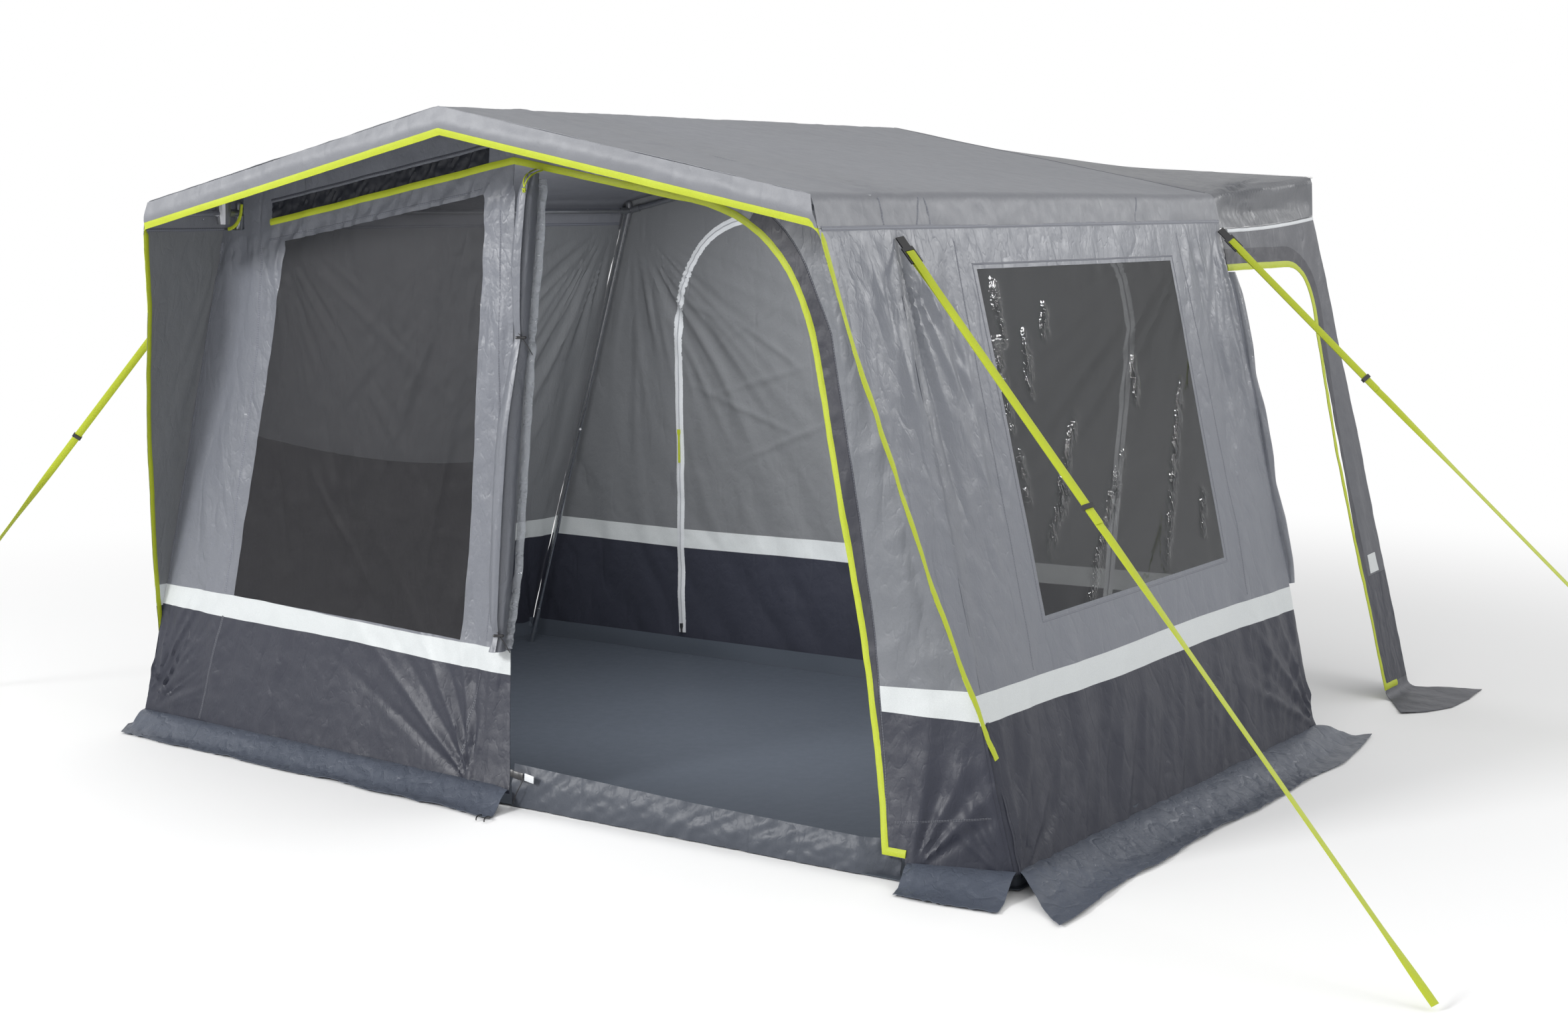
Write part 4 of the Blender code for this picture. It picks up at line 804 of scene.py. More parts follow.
def rectangle(left, low, right, high):
    """The four corners of an upright cut, counter-clockwise."""
    return [(left, low), (right, low), (right, high), (left, high)]


print("dressing tools ready")

# %% [markdown]
# ## Guy straps
# Each strap is one length of 25 mm webbing. It goes from the peg up to the buckle, through its slot
# and back down as a second layer, whose end the keeper holds. It is modelled as a flat ribbon along
# its real route, because a flat strap has none of a rope's roundness to simulate. Below the keeper the
# webbing turns a little about its own length, as a real one does, so it looks narrower there.

# %% Straps
STRAP_WIDTH, STRAP_THICK, STRAP_TAIL, PEG_HEIGHT = 0.025, 0.0014, 0.055, 0.012
BUCKLE_THICK, BUCKLE_TAB, BUCKLE_LENGTH = 0.005, 0.038, 0.056
BAR_AT, BAR_GAP, LAYER_GAP = 0.018, 0.0015, 0.0012
SEAM_TOP_Z = (RIDGE - VALANCE - ROOF_SLOPE * BASE_X) / (1 - ROOF_SLOPE * SIDE_SLOPE)
ATTACH_Z = SEAM_TOP_Z - 0.016
SIDE_OUT = np.array([1.0, 0.0, SIDE_SLOPE]) / math.hypot(1, SIDE_SLOPE)


def unit(v):
    return v / np.linalg.norm(v)


def strap_frame(side, attach_y, peg, twist):
    """The strap's start, its direction, its width's direction, its face and its length."""
    attach = np.array([side * side_x(ATTACH_Z), attach_y, ATTACH_Z])
    peg = np.array([peg[0], peg[1], PEG_HEIGHT])
    down = unit(peg - attach)
    across = unit(np.cross(down, (0, 0, 1)))
    face = unit(np.cross(across, down))
    face = -face if face[2] < 0 else face
    c, s = math.cos(math.radians(twist)), math.sin(math.radians(twist))
    across, face = across * c + face * s, face * c - across * s
    return attach, down, across, face, float(np.linalg.norm(peg - attach))


def ribbon(name, rows, across, width, thick):
    """A flat strap through points, with its edges slightly rounded; across is one way or one a row."""
    rows = np.array(rows)
    out = np.cross(across, np.gradient(rows, axis=0))
    out /= np.linalg.norm(out, axis=1, keepdims=True)
    half, edge = width / 2, 0.45 * thick
    loop = [(-half, -0.2 * thick), (-half + edge, -thick / 2), (half - edge, -thick / 2),
            (half, -0.2 * thick), (half, 0.2 * thick), (half - edge, thick / 2),
            (-half + edge, thick / 2), (-half, 0.2 * thick)]
    return loft(name, np.stack([rows + across * a + out * b for a, b in loop], 1))


def make_strap(place, side, attach_y, peg, keeper_at, twist, turned):
    """A guy strap from its buckle to its peg, turned by some degrees below the keeper."""
    attach, down, across, face, whole = strap_frame(side, attach_y, peg, twist)
    wall_out = SIDE_OUT * (side, 1, 1)
    tilt = (abs(face @ wall_out) * BUCKLE_THICK + abs(across @ wall_out) * STRAP_WIDTH) / 2
    start = (tilt + 2 * GAP) / (down @ wall_out) + BUCKLE_TAB
    turn, end, apart = start + BAR_AT, start + BUCKLE_LENGTH, BUCKLE_THICK / 2 + BAR_GAP
    low = [(turn, -apart), (end + 0.012, -apart), (end + 0.09, -LAYER_GAP), (keeper_at + 0.065, -LAYER_GAP),
           (keeper_at + 0.09, 0.0), (whole - 0.05, 0.0), (whole, 0.0)]
    top = [(turn, apart), (end + 0.012, apart), (end + 0.09, LAYER_GAP), (keeper_at + STRAP_TAIL, LAYER_GAP)]
    bend = [(turn - apart * math.cos(a), -apart * math.sin(a)) for a in np.linspace(-1.4, 1.4, 7)]
    route = dense(top[::-1], 0.03) + bend + dense(low, 0.03)
    rows = [attach + down * s + face * f for s, f in route]
    along = np.array([s for s, _ in route])
    ease = ramp(along - keeper_at - 0.09, 0.4) * ramp(whole - 0.03 - along, 0.2)
    angles = np.radians(turned * ease * ease * (3 - 2 * ease))[:, None]
    width_way = across * np.cos(angles) + face * np.sin(angles)
    strap = ribbon("webbing_" + place, rows, width_way, STRAP_WIDTH, STRAP_THICK)
    dress(strap, "lime", "lime_tape", "strap_" + place)
    return strap, [tuple(attach + down * s) for s in np.linspace(start - BUCKLE_TAB, whole, 60)]


FRONT_PEG, REAR_PEG = (2.985, -1.365), (3.000, 1.437)
for place, side, attach_y, peg, keeper_at, twist, turned in (
        ("front_right", 1, -1.020, FRONT_PEG, 0.956, -15, 25),
        ("front_left", -1, -1.020, (-FRONT_PEG[0], FRONT_PEG[1]), 0.998, -55, 58),
        ("rear_right", 1, 1.020, REAR_PEG, 0.725, -50, 33)):
    piece, line = make_strap(place, side, attach_y, peg, keeper_at, twist, turned)

# %% [markdown]
# ## Roof
# One cloth runs over the ridge pole and both eave poles and hangs down to a seam below each eave. Its
# section is a softly bent line, so the surface is that line swept from the porch to the rear.

# %% Roof
SEAM_X = BASE_X - SIDE_SLOPE * SEAM_TOP_Z


def bent(corners, radii, count=10):
    """A line through corners with soft bends, as arrays of length along it, x and z."""
    line = [np.array(corners[0], float)]
    for before, corner, after, radius in zip(corners, corners[1:], corners[2:], radii):
        corner = np.array(corner, float)
        a = corner + unit(np.array(before, float) - corner) * radius
        b = corner + unit(np.array(after, float) - corner) * radius
        line += [np.array(p) for p in rounded(a, corner, b, count)]
    line = np.array([*line, np.array(corners[-1], float)])
    return run_of(line), line[:, 0], line[:, 1]


ROOF_CORNERS = [(-SEAM_X, SEAM_TOP_Z), (-EAVE_X, EAVE), (0, RIDGE), (EAVE_X, EAVE), (SEAM_X, SEAM_TOP_Z)]
ROOF_RUN, ROOF_LINE_X, ROOF_LINE_Z = bent(ROOF_CORNERS, [0.020, 0.030, 0.020])
ROOF_RUN = ROOF_RUN - ROOF_RUN[-1] / 2
HALF_RUN, SLOPE_RUN, POLE_Y = float(ROOF_RUN[-1]), 1.33, -1.045


def roof_surface(s, y):
    """s runs across the roof from the left seam to the right one, with 0 at the ridge."""
    return points(np.interp(s, ROOF_RUN, ROOF_LINE_X), y, np.interp(s, ROOF_RUN, ROOF_LINE_Z))


def roof_folds(s, y):
    """A slight sag between the poles, ripples in the hanging edge and creases at the corners."""
    away = np.abs(s)
    sag = -0.010 * np.sin(math.pi * ramp(away, SLOPE_RUN))
    sag = sag * np.sin(math.pi * ramp(y - PORCH_Y, ROOF_REAR - PORCH_Y)) ** 0.5
    soft = 0.003 * swell(s / 0.5, y / 0.7, 11)
    hanging = ramp(away - SLOPE_RUN, 0.05)
    edge = ramp(HALF_RUN - away, 0.03) * ramp(ROOF_REAR - y, 0.05)
    ripples = 0.004 * pulled(s, y, 0, 0.3, 0.09, 12) + 0.002 * creased(pulled(s, y, 40, 0.2, 0.05, 16))
    rib = 0.004 * np.exp(-((y - POLE_Y) / 0.030) ** 2) * (1 - hanging)
    creases = crumple(s, y, 13, 0.18, 0.0008)
    for at, towards, seed in (((1.40, -1.06), 150, 14), ((1.40, 1.03), 210, 15)):
        creases = creases + rays(away, y, at, towards, 40, 9, 0.35, 0.004, seed)
    return sag + soft + rib + (hanging * ripples + creases) * edge


ROOF = roof_surface, roof_folds
roof = panel("roof_cover", ROOF, rectangle(-HALF_RUN, PORCH_Y, HALF_RUN, ROOF_REAR), "roof", "roof",
             slot="roof_cloth", step=0.020)
for number, ends in enumerate(((-1.072, -1.071), (-0.873, -0.907), (-0.845, -0.838), (0.456, 0.409))):
    stitch(f"seam_roof_{number}", ROOF, list(zip((1.338, HALF_RUN - 0.006), ends)), width=0.007)
stitch("seam_roof_rear", ROOF, [(0.012, ROOF_REAR - 0.012), (1.30, ROOF_REAR - 0.010)], "dark_seam", 0.012)
print("roof cloth:", len(roof.data.polygons), "faces")

# %% [markdown]
# ## Side walls
# The right wall is a light upper panel with a clear window, a white reflective band and a dark lower
# panel. It runs on in front of the room as a narrow wing that closes the porch's side. All of its
# pieces share one fold function, so their edges meet wherever the cloth is wrinkled.

# %% Side walls
WING_TIP, WING_CURVE = 0.340, (-1.365, 1.296)
WINDOW = [(-0.679, 0.659), (0.520, 0.668), (0.602, 1.621), (-0.641, 1.624)]
WALL_TOP, BAND_LOW, BAND_HIGH = SEAM_TOP_Z - 0.002, 0.44, 0.514
WING_EDGE = rounded((PORCH_Y, WALL_TOP), WING_CURVE, (front_y(WING_TIP), WING_TIP), 16)


def wing_y(z):
    """The wing's free edge at height z, or the corner line below its tip."""
    edge = np.array(WING_EDGE)[::-1]
    return np.where(z > WING_TIP, np.interp(z, edge[:, 1], edge[:, 0]), front_y(z))


def stripe_low(y):
    return 0.438 + 0.002 * y + 0.003 * np.sin(5 * y)


def stripe_high(y):
    return 0.514 + 0.002 * y + 0.003 * np.sin(4.4 * y + 0.4)


SIDE_STROKES = [(-1.02, 1.76, -0.99, 0.95, 0.022, -0.014), (-0.95, 1.76, -0.86, 1.10, 0.030, 0.008),
                (-1.20, 1.74, -1.10, 1.15, 0.030, 0.010), (-1.12, 1.70, -1.16, 1.30, 0.018, -0.008),
                (-0.78, 1.62, -0.86, 0.90, 0.020, 0.006), (0.78, 1.74, 0.86, 1.00, 0.022, -0.007),
                (0.98, 1.70, 0.94, 0.90, 0.026, 0.009)]
REAR_FOOT_FAN = (96, 107, 118, 130, 142, 155)


def fade_at_top(total, z):
    """The folds die away where the wall meets the roof's seam."""
    return total * ramp(WALL_TOP - z, 0.10) ** 0.6


def side_folds(y, z):
    """Tension from the eave corners, long upright folds and bag creases."""
    total = 0.0060 * pulled(y, z, 84, 0.9, 0.13, 21) + 0.0034 * creased(pulled(y, z, 76, 0.8, 0.16, 22))
    total = total + rays(y, z, (-1.03, 1.77), -80, 26, 7, 0.60, 0.007, 26)
    total = total + rays(y, z, (1.02, 1.77), -98, 24, 7, 0.55, 0.007, 27) + strokes(y, z, SIDE_STROKES)
    total = total + fan(y, z, (-1.10, 0.03), (28, 40, 51, 62, 72, 82), 0.60, 0.007)
    total = total + fan(y, z, (0.93, 0.05), REAR_FOOT_FAN, 0.60, 0.007)
    low = ramp(BAND_LOW - z, 0.2)
    total = total + low * (0.004 * creased(pulled(y, z, 58, 0.5, 0.07, 23)) + 0.004)
    total = total + crumple(y, z, 24, 0.16, 0.0008)
    taut = np.maximum(np.abs(y + 0.05) - 0.62, np.abs(z - 1.14) - 0.49)
    return fade_at_top(total * (0.2 + 0.8 * ramp(taut, 0.18)), z)


def left_folds(y, z):
    """The left wall's own creases, which fan out from its rear top corner."""
    total = 0.004 * pulled(y, z, 84, 0.9, 0.15, 121) + crumple(y, z, 124, 0.16, 0.0008)
    total = total + rays(y, z, (1.00, 1.80), -115, 34, 8, 1.1, -0.013, 122)
    total = total + rays(y, z, (-1.03, 1.77), -80, 26, 7, 0.60, 0.006, 125)
    return fade_at_top(total + fan(y, z, (0.93, 0.05), REAR_FOOT_FAN[:5], 0.60, 0.006), z)


def zigzag(line, start, end, step=0.03):
    """Points along a height line from start to end."""
    count = max(2, round(abs(end - start) / step))
    return [(float(t), float(line(t))) for t in np.linspace(start, end, count + 1)]


def foot_line(x):
    return WALL_FOOT + 0.0 * x


def wall_bands(prefix, surface, folds, sign, eave, cloth, holes=()):
    """The light upper panel, the white band and the dark lower panel of one side wall."""
    def laid(outline):
        return [(sign * y, z) for y, z in outline][::sign]

    side = surface, lambda u, v: folds(sign * u, v)
    low = zigzag(stripe_low, float(wing_y(BAND_LOW)), float(rear_y(BAND_LOW)))
    high = zigzag(stripe_high, float(wing_y(BAND_HIGH)), float(rear_y(BAND_HIGH)))
    upper = high + at_heights(rear_y, WALL_TOP) + [p for p in WING_EDGE if p[1] > 0.53]
    band = low + high[::-1] + at_heights(wing_y, 0.51, 0.49, 0.47, 0.45)
    foot = at_heights(front_y, WING_TIP, 0.2, WALL_FOOT) + at_heights(rear_y, WALL_FOOT)
    lower = foot + low[::-1] + at_heights(wing_y, 0.42, 0.40, 0.37)
    panel(prefix + "_upper", side, laid(upper), cloth, prefix, holes=[laid(h) for h in holes], on=[eave])
    panel(prefix + "_band", side, laid(band), "stripe", on=[prefix + "_upper"])
    panel(prefix + "_lower", side, laid(lower), "dark", on=[prefix + "_band"])


wall_bands("wall_right", right_wall, side_folds, 1, "eave_pole_right", "wall", [WINDOW])
# The left wall takes the darker inner cloth: painted shade of a wall seen from inside.
wall_bands("wall_left", left_wall, left_folds, -1, "eave_pole_left", "inner")
print("side walls sewn")

# %% [markdown]
# ## Side window and seams
# The window's film is held at its rim and nearly flat between, apart from a chain of sharp creases
# from being packed. The same creases, wider, tell the material where to crinkle.

# %% Side window
CHAINS = [(-0.24, 1.20, -0.60, 0.80), (0.02, 1.08, -0.46, 0.62), (0.50, 1.25, 0.10, 0.68),
          (-0.56, 1.60, -0.58, 1.40), (-0.62, 1.44, -0.64, 1.15), (-0.44, 1.45, -0.50, 1.24),
          (-0.62, 1.12, -0.64, 0.95), (-0.30, 1.52, -0.34, 1.40), (0.20, 1.34, 0.14, 1.18),
          (-0.08, 0.98, -0.18, 0.86), (0.48, 0.90, 0.40, 0.74), (-0.38, 1.02, -0.48, 0.90)]


def film_folds(y, z):
    """The wall's folds at the rim, almost none further in, and the creases."""
    from_ends = np.minimum(y + 0.64 + 0.04 * (1.62 - z), 0.52 + 0.085 * (z - 0.66) - y)
    inside = np.minimum(np.minimum(z - 0.66, 1.62 - z), from_ends)
    calm = 1 - 0.94 * ramp(inside, 0.08)
    return side_folds(y, z) * calm + strokes(y, z, CHAINS, 0.016, 0.0015)


def mark_creases(obj):
    """Marks how crinkled the film is near its creases."""
    place = np.empty(len(obj.data.vertices) * 3)
    obj.data.vertices.foreach_get("co", place)
    _, y, z = place.reshape(-1, 3).T
    marks = strokes(y, z, CHAINS, 0.022, 1.0) * np.clip(0.75 + swell(y * 26, z * 26, 33), 0, 1)
    mark(obj, "crease", marks + 0.05 * np.clip(swell(y * 9, z * 9, 34), 0, 1) ** 2)


RIGHT = right_wall, side_folds
film = sew("side_window_film", right_wall, WINDOW, folds=film_folds, thick=0.0007, behind=0.0002, step=0.010)
mark_creases(film)
dress(film, "film", "clear_film", "window_right", on=["wall_right_upper"])
for name, surface, sign in (("right", right_wall, 1), ("left", left_wall, -1)):
    run = [(sign * y, WALL_TOP + 0.001) for y in (PORCH_Y + 0.012, float(rear_y(WALL_TOP)))]
    bind("seam_eave_" + name, (surface, None), run[::sign], 0.013, "seam", "light_cloth", inner=0.0030,
         outer=0.0012)
hem = [(y + 0.018 * sy, z + 0.014 * sz) for (y, z), sy, sz in zip(WINDOW, (-1, 1, 1, -1), (-1, -1, 1, 1))]
for name, path in (("front", [(-0.732, 1.704), (-0.767, 1.095), (-0.806, 0.530)]),
                   ("rear", [(0.689, 1.709), (0.679, 1.363), (0.664, 0.763), (0.626, 0.534)]),
                   ("hem", hem + hem[:1])):
    stitch("seam_window_" + name, RIGHT, path, width=0.006)
print("side window sewn")

# %% [markdown]
# ## Front wall
# The front wall is pieced from many cuts: a light panel at the left corner, the strip above the mesh
# window, the jamb beside the door, the dark facing of the door's arch and the light panel beyond it,
# with the white band and the dark lower panel below.

# %% Front wall
JAMB_TOP, HEAD_LEFT = (-0.012, 1.947), (-1.093, 1.766)
MESH_WINDOW = [(-1.295, 0.505), (-0.223, 0.467), (-0.132, 1.847), (-1.021, 1.705)]
ARCH_START, ARCH_CORNER, ARCH_END = (0.600, 1.836), (1.030, 1.790), (1.102, 1.387)
LEG_SPREAD, LEG_FLARE, DOOR_HEM = 0.2273, 0.020, 0.063
POLE_CLEARANCE, ROOF_CLEARANCE = 0.0036, 0.0033


def jamb_x(z):
    """The doorway's left edge."""
    return DOOR_LEFT + JAMB_SPREAD * bow(z)


def leg_x(z):
    """The doorway's right edge, below its arch."""
    return ARCH_END[0] + LEG_SPREAD * (ARCH_END[1] - z) + LEG_FLARE * bow(z) / BOW_DEPTH


def inner_limit(z):
    """How far a front or rear panel may reach before it would meet the side wall."""
    return side_x(z) - POLE_CLEARANCE / math.cos(math.atan(SIDE_SLOPE))


def left_limit(z):
    return -inner_limit(z)


def under_roof(x):
    return roof_z(x) - ROOF_CLEARANCE


def left_band_low(x):
    return 0.383 + (0.442 - 0.383) * (-0.020 - x) / 1.638 + 0.003 * np.sin(6 * x)


def left_band_high(x):
    return 0.453 + (0.516 - 0.453) * (-0.021 - x) / 1.618 + 0.003 * np.sin(5 * x + 1)


def right_band_low(x):
    return 0.436 + 0.012 * (x - 1.36)


def right_band_high(x):
    return 0.504 + 0.053 * (x - 1.347)


DOOR_ARCH = rounded(ARCH_START, ARCH_CORNER, ARCH_END, 14)
FRONT_RAYS = [((-1.10, 1.80), -55, 34, 13, 0.90, 0.0035, 45), ((-0.06, 1.96), -118, 32, 14, 0.90, 0.0035, 46),
              ((-1.75, 0.05), 58, 32, 9, 0.42, 0.008, 49)]
FRONT_FANS = [((-0.10, 0.03), (98, 106, 116, 124, 135, 144, 155), 0.85, 0.008),
              ((1.50, 0.03), (38, 49, 58, 68, 77, 88), 0.45, 0.007),
              ((1.755, 0.03), (99, 106, 113, 121, 130, 141), 0.42, 0.006)]
FRONT_STROKES = [(1.16, 1.74, 1.30, 1.15, 0.020, -0.010), (1.10, 1.76, 1.22, 1.30, 0.016, 0.006),
                 (1.22, 1.70, 1.42, 0.90, 0.022, 0.008), (1.30, 1.30, 1.50, 0.60, 0.018, -0.008)]
MESH_CREASES = [(-1.02, 1.66, -0.42, 0.95), (-1.02, 1.60, -0.70, 0.70), (-0.15, 1.80, -0.62, 0.90),
                (-0.15, 1.72, -0.86, 1.05), (-0.92, 1.64, -0.25, 1.20), (-1.12, 1.20, -1.02, 0.60),
                (-0.20, 1.40, -0.42, 0.55), (-0.55, 1.50, -0.80, 0.80), (-0.95, 1.00, -0.60, 0.55)]


def front_folds(x, z):
    """Upright folds, creases from the corners and the feet, a puckered header and a full jamb."""
    total = 0.0040 * pulled(x, z, 86, 0.8, 0.13, 41) + 0.0024 * creased(pulled(x, z, 82, 0.7, 0.14, 42))
    total = total + sum(rays(x, z, *row) for row in FRONT_RAYS) + sum(fan(x, z, *row) for row in FRONT_FANS)
    header = np.exp(-((z - (1.875 + 0.17 * x)) / 0.05) ** 2) * (x < 0)
    jamb = np.exp(-((x + 0.09) / 0.06) ** 2)
    total = total + 0.005 * header * creased(pulled(x, z, 62, 0.12, 0.045, 47))
    total = total + 0.005 * jamb * (pulled(x, z, 88, 0.22, 0.022, 43) + 1)
    return total + strokes(x, z, FRONT_STROKES) + crumple(x, z, 44, 0.15, 0.0010)


def mesh_folds(x, z):
    """The net and its flap hang in a few long thin creases that start at the upper corners."""
    raised, sunk = MESH_CREASES[::2], MESH_CREASES[1::2]
    return front_folds(x, z) + strokes(x, z, raised, 0.011, 0.005) + strokes(x, z, sunk, 0.011, -0.004)


def shade_strip_folds(x, z):
    return front_folds(x, z) + 0.003 * creased(pulled(x, z, 50, 0.06, 0.02, 39))


FRONT, NET = (front_wall, front_folds), (front_wall, mesh_folds)
# A strip under the roof left of the door is set back behind a hole in the gable; its near-black cloth is painted shade
# of that recess.
SHADE_STRIP = [(-1.086, 1.777), (-0.110, 1.941), (-0.110, 1.988), (-1.086, 1.829)]
high = zigzag(left_band_high, left_limit(0.516), jamb_x(0.453))
low = zigzag(left_band_low, left_limit(0.442), jamb_x(0.383))
upper = high + at_heights(jamb_x, 0.6, 0.75, 1.2) + [JAMB_TOP, HEAD_LEFT, (-1.19, 1.76), (-1.235, 1.741)]
upper += at_heights(left_limit, 1.741, 1.70, 1.4, 1.1, 0.8, 0.53)
foot = zigzag(foot_line, left_limit(WALL_FOOT), jamb_x(WALL_FOOT)) + at_heights(jamb_x, 0.12, 0.2, 0.3)
panel("front_left_panel", FRONT, upper, "light", "wall_front", holes=[MESH_WINDOW], on=["rafter_front_left"])
panel("front_left_band", FRONT, low + high[::-1], "stripe", on=["front_left_panel"])
panel("front_left_lower", FRONT, foot + low[::-1], "dark", on=["front_left_band"], step=0.010)
print("front wall, left of the door")

# %% [markdown]
# ## Front gable
# The gable fills the wall between the window and the roof, and its second half ends in the doorway's
# arch. Both halves and the panel right of the door are cut along the same lines, such as the arch and
# the roof's underside. A shared line is one function of a height or a width, so no gap can open.

# %% Front gable and the panel right of the door
right_peak = [(1.227, 1.741), (1.227, float(under_roof(1.227)))]
split = (ARCH_START[0], float(under_roof(ARCH_START[0])))
left_gable = [HEAD_LEFT, JAMB_TOP, ARCH_START, split, (0.0, float(under_roof(0))),
              (-1.227, float(under_roof(1.227))), (-1.227, 1.742), (-1.19, 1.76)]
right_gable = [*DOOR_ARCH, *at_heights(leg_x, 1.3), *at_heights(inner_limit, 1.3, 1.741), *right_peak, split]
panel("front_gable", FRONT, left_gable, "light", holes=[SHADE_STRIP], on=["rafter_front_left"])
# The gable's right half takes the darker shade cloth: painted shade under the porch roof.
panel("front_gable_right", FRONT, right_gable, "shade", on=["rafter_front_right"])
panel("front_shade_strip", (front_wall, shade_strip_folds), SHADE_STRIP, "vent", slot="mesh", on=["front_gable"], behind=0.002,
      step=0.008)
high = zigzag(right_band_high, leg_x(0.505), inner_limit(0.52))
low = zigzag(right_band_low, leg_x(0.436), inner_limit(0.44))
upper = high + at_heights(inner_limit, 0.8, 1.1, 1.3) + at_heights(leg_x, 1.3, 1.05, 0.9, 0.75, 0.6, 0.51)
foot = at_heights(leg_x, 0.40, 0.3, 0.2, 0.1, DOOR_HEM) + [(BOW_RIGHT, DOOR_HEM), (BOW_RIGHT + 0.003, WALL_FOOT)]
foot += at_heights(inner_limit, WALL_FOOT)
# The panel right of the door takes the darker shade cloth: painted shade under the porch roof.
panel("front_right_panel", FRONT, upper, "shade", on=["rafter_front_right"])
panel("front_right_band", FRONT, low + high[::-1], "stripe", on=["front_right_panel"])
panel("front_right_lower", FRONT, foot + low[::-1], "dark", on=["front_right_band"], step=0.009)
print("front wall, right of the door")

# %% [markdown]
# ## Mesh window and trims
# The net lies just behind the wall and its flap hangs behind the net, so each stays clear of the next
# piece. The trims are tapes along paths on the wall: a lime binding round the doorway and a seam where
# two cuts are sewn together. They follow the wall's own folds, which is simpler and surer than
# wrapping a straight tape onto a creased cloth.

# %% Mesh window, door edge and seams
panel("window_mesh_pane", NET, MESH_WINDOW, "mesh", "window_mesh", slot="mesh", on=["front_left_panel"],
      thick=0.0008, behind=0.0004)
flap = [(-1.313, 0.487), (-0.205, 0.449), *rounded((-0.188, 1.025), (-0.600, 0.980), (-1.196, 1.058), 10)]
panel("window_drop_flap", NET, flap, "drop", "window_flap", slot="dark_cloth", on=["front_left_panel"],
      held="hung", behind=0.0045)
PIPING = [HEAD_LEFT, JAMB_TOP, *DOOR_ARCH, *at_heights(leg_x, 1.2, 1.05, 0.9, 0.75, 0.6, 0.45, 0.3, 0.15, 0.075),
          (BOW_RIGHT, 0.075)]
bind("door_binding", FRONT, PIPING, 0.021, "lime", "lime_tape", "door_piping", outer=0.0034)
FACING_OUT = [(1.061, 1.639), (1.146, 1.456), (1.221, 1.101), (1.278, 0.792), (1.345, 0.433), (1.418, 0.075)]
facing_line = rounded((0.895, 1.805), (1.00, 1.745), FACING_OUT[0], 6) + FACING_OUT[1:]
facing_cut = [p for p in PIPING if p[0] > 0.83 and p[1] > 0.08] + facing_line[::-1]
panel("door_facing", FRONT, facing_cut, "band", slot="dark_cloth", on=["front_right_panel"], behind=-0.0014,
      step=0.009, thick=0.0012)
for name, finish, width, path in (
        ("facing", "dark_seam", 0.010, facing_line),
        ("mesh_side", "seam", 0.009, [(-1.137, 1.700), (-1.168, 1.361), (-1.335, 0.515)]),
        ("lower_left", "dark_seam", 0.009, [(-1.345, 0.43), (-1.47, 0.06)]),
        ("lower_jamb", "dark_seam", 0.009, [(-0.129, 0.375), (-0.178, 0.05)]),
        ("header", "seam", 0.007, [(-1.100, 1.708), (-0.140, 1.862)]),
        ("vent", "dark_seam", 0.007, [(-1.09, 1.838), (-0.05, 2.008)]),
        ("jamb", "seam", 0.006, [(-0.069, 1.80), (-0.075, 1.2), (-0.112, 0.477)]),
        ("corner_left", "seam", 0.009, at_heights(lambda z: left_limit(z) + 0.006, 1.70, 1.1, 0.53))):
    stitch("seam_" + name, FRONT, path, finish, width)


SEAM_STEP, SEAM_HALF = 0.012, 0.009


def corner_seam(name, low, high, finish):
    """The seam where the front wall turns into the right wall, from one height to another."""
    z = np.linspace(low, high, round((high - low) / SEAM_STEP))
    rows = []
    for (surface, folds), u in ((FRONT, inner_limit(z) - SEAM_HALF), (RIGHT, front_y(z) + SEAM_HALF)):
        out = facing(surface, u, z)
        rows.append((surface(u, z) + out * folds(u, z)[:, None], out))
    (front, front_out), (side, side_out) = rows
    out = (front_out + side_out) / 2
    corner = points(side_x(z), front_y(z), z) + out * 0.003
    over = [front + front_out * 0.0012, corner, side + side_out * 0.0012]
    under = [side - side_out * 0.003, corner - out * 0.008, front - front_out * 0.003]
    return dress(loft(name, np.stack(over + under, 1)), finish, "light_cloth")


corner_seam("seam_corner_low", 0.045, 0.440, "dark")
corner_seam("seam_corner_high", 0.516, 1.700, "light")
stitch("seam_lower_right", FRONT, [(1.43, 0.150), (1.70, 0.190)], "dark_seam", 0.006)
print("front wall sewn")

# %% [markdown]
# ## Rear wall
# The rear wall closes the room towards the tunnel. Its arched door is held by one long zip, whose
# tape shows as a light arch from inside and out.

# %% Rear wall
ZIP_ARCH = [(0.950, 0.090), (0.966, 0.4), (0.985, 0.8), *rounded((1.016, 1.370), (0.972, 1.742), (0.660, 1.765), 12)]
ZIP_ARCH += [(-u, z) for u, z in ZIP_ARCH[::-1]]
REAR_CREASES = [(0.79, 1.40, 0.39, 1.18), (0.42, 1.48, 0.84, 1.24), (1.00, 1.44, 0.80, 1.37),
                (0.34, 1.20, 0.86, 1.05), (0.95, 1.10, 0.40, 0.92), (0.2, 1.0, 0.7, 0.8)]
PEAK_X, PEAK_Z = 1.266, 1.815


def rear_folds(u, z):
    """Upright folds, creases from the eave corners and a few across the door."""
    total = 0.0045 * pulled(u, z, 82, 0.7, 0.17, 51) + 0.0022 * creased(pulled(u, z, 60, 0.6, 0.20, 52))
    total = total + rays(u, z, (1.25, 1.75), -120, 34, 8, 0.9, -0.010, 54)
    total = total + rays(u, z, (-1.25, 1.75), -60, 34, 8, 0.9, -0.010, 55)
    return total + strokes(u, z, REAR_CREASES, 0.012, -0.006) + crumple(u, z, 53, 0.16, 0.0011)


def rear_low(u):
    return 0.440 + 0.003 * np.sin(5 * u)


def rear_high(u):
    return 0.515 + 0.003 * np.sin(4 * u + 1)


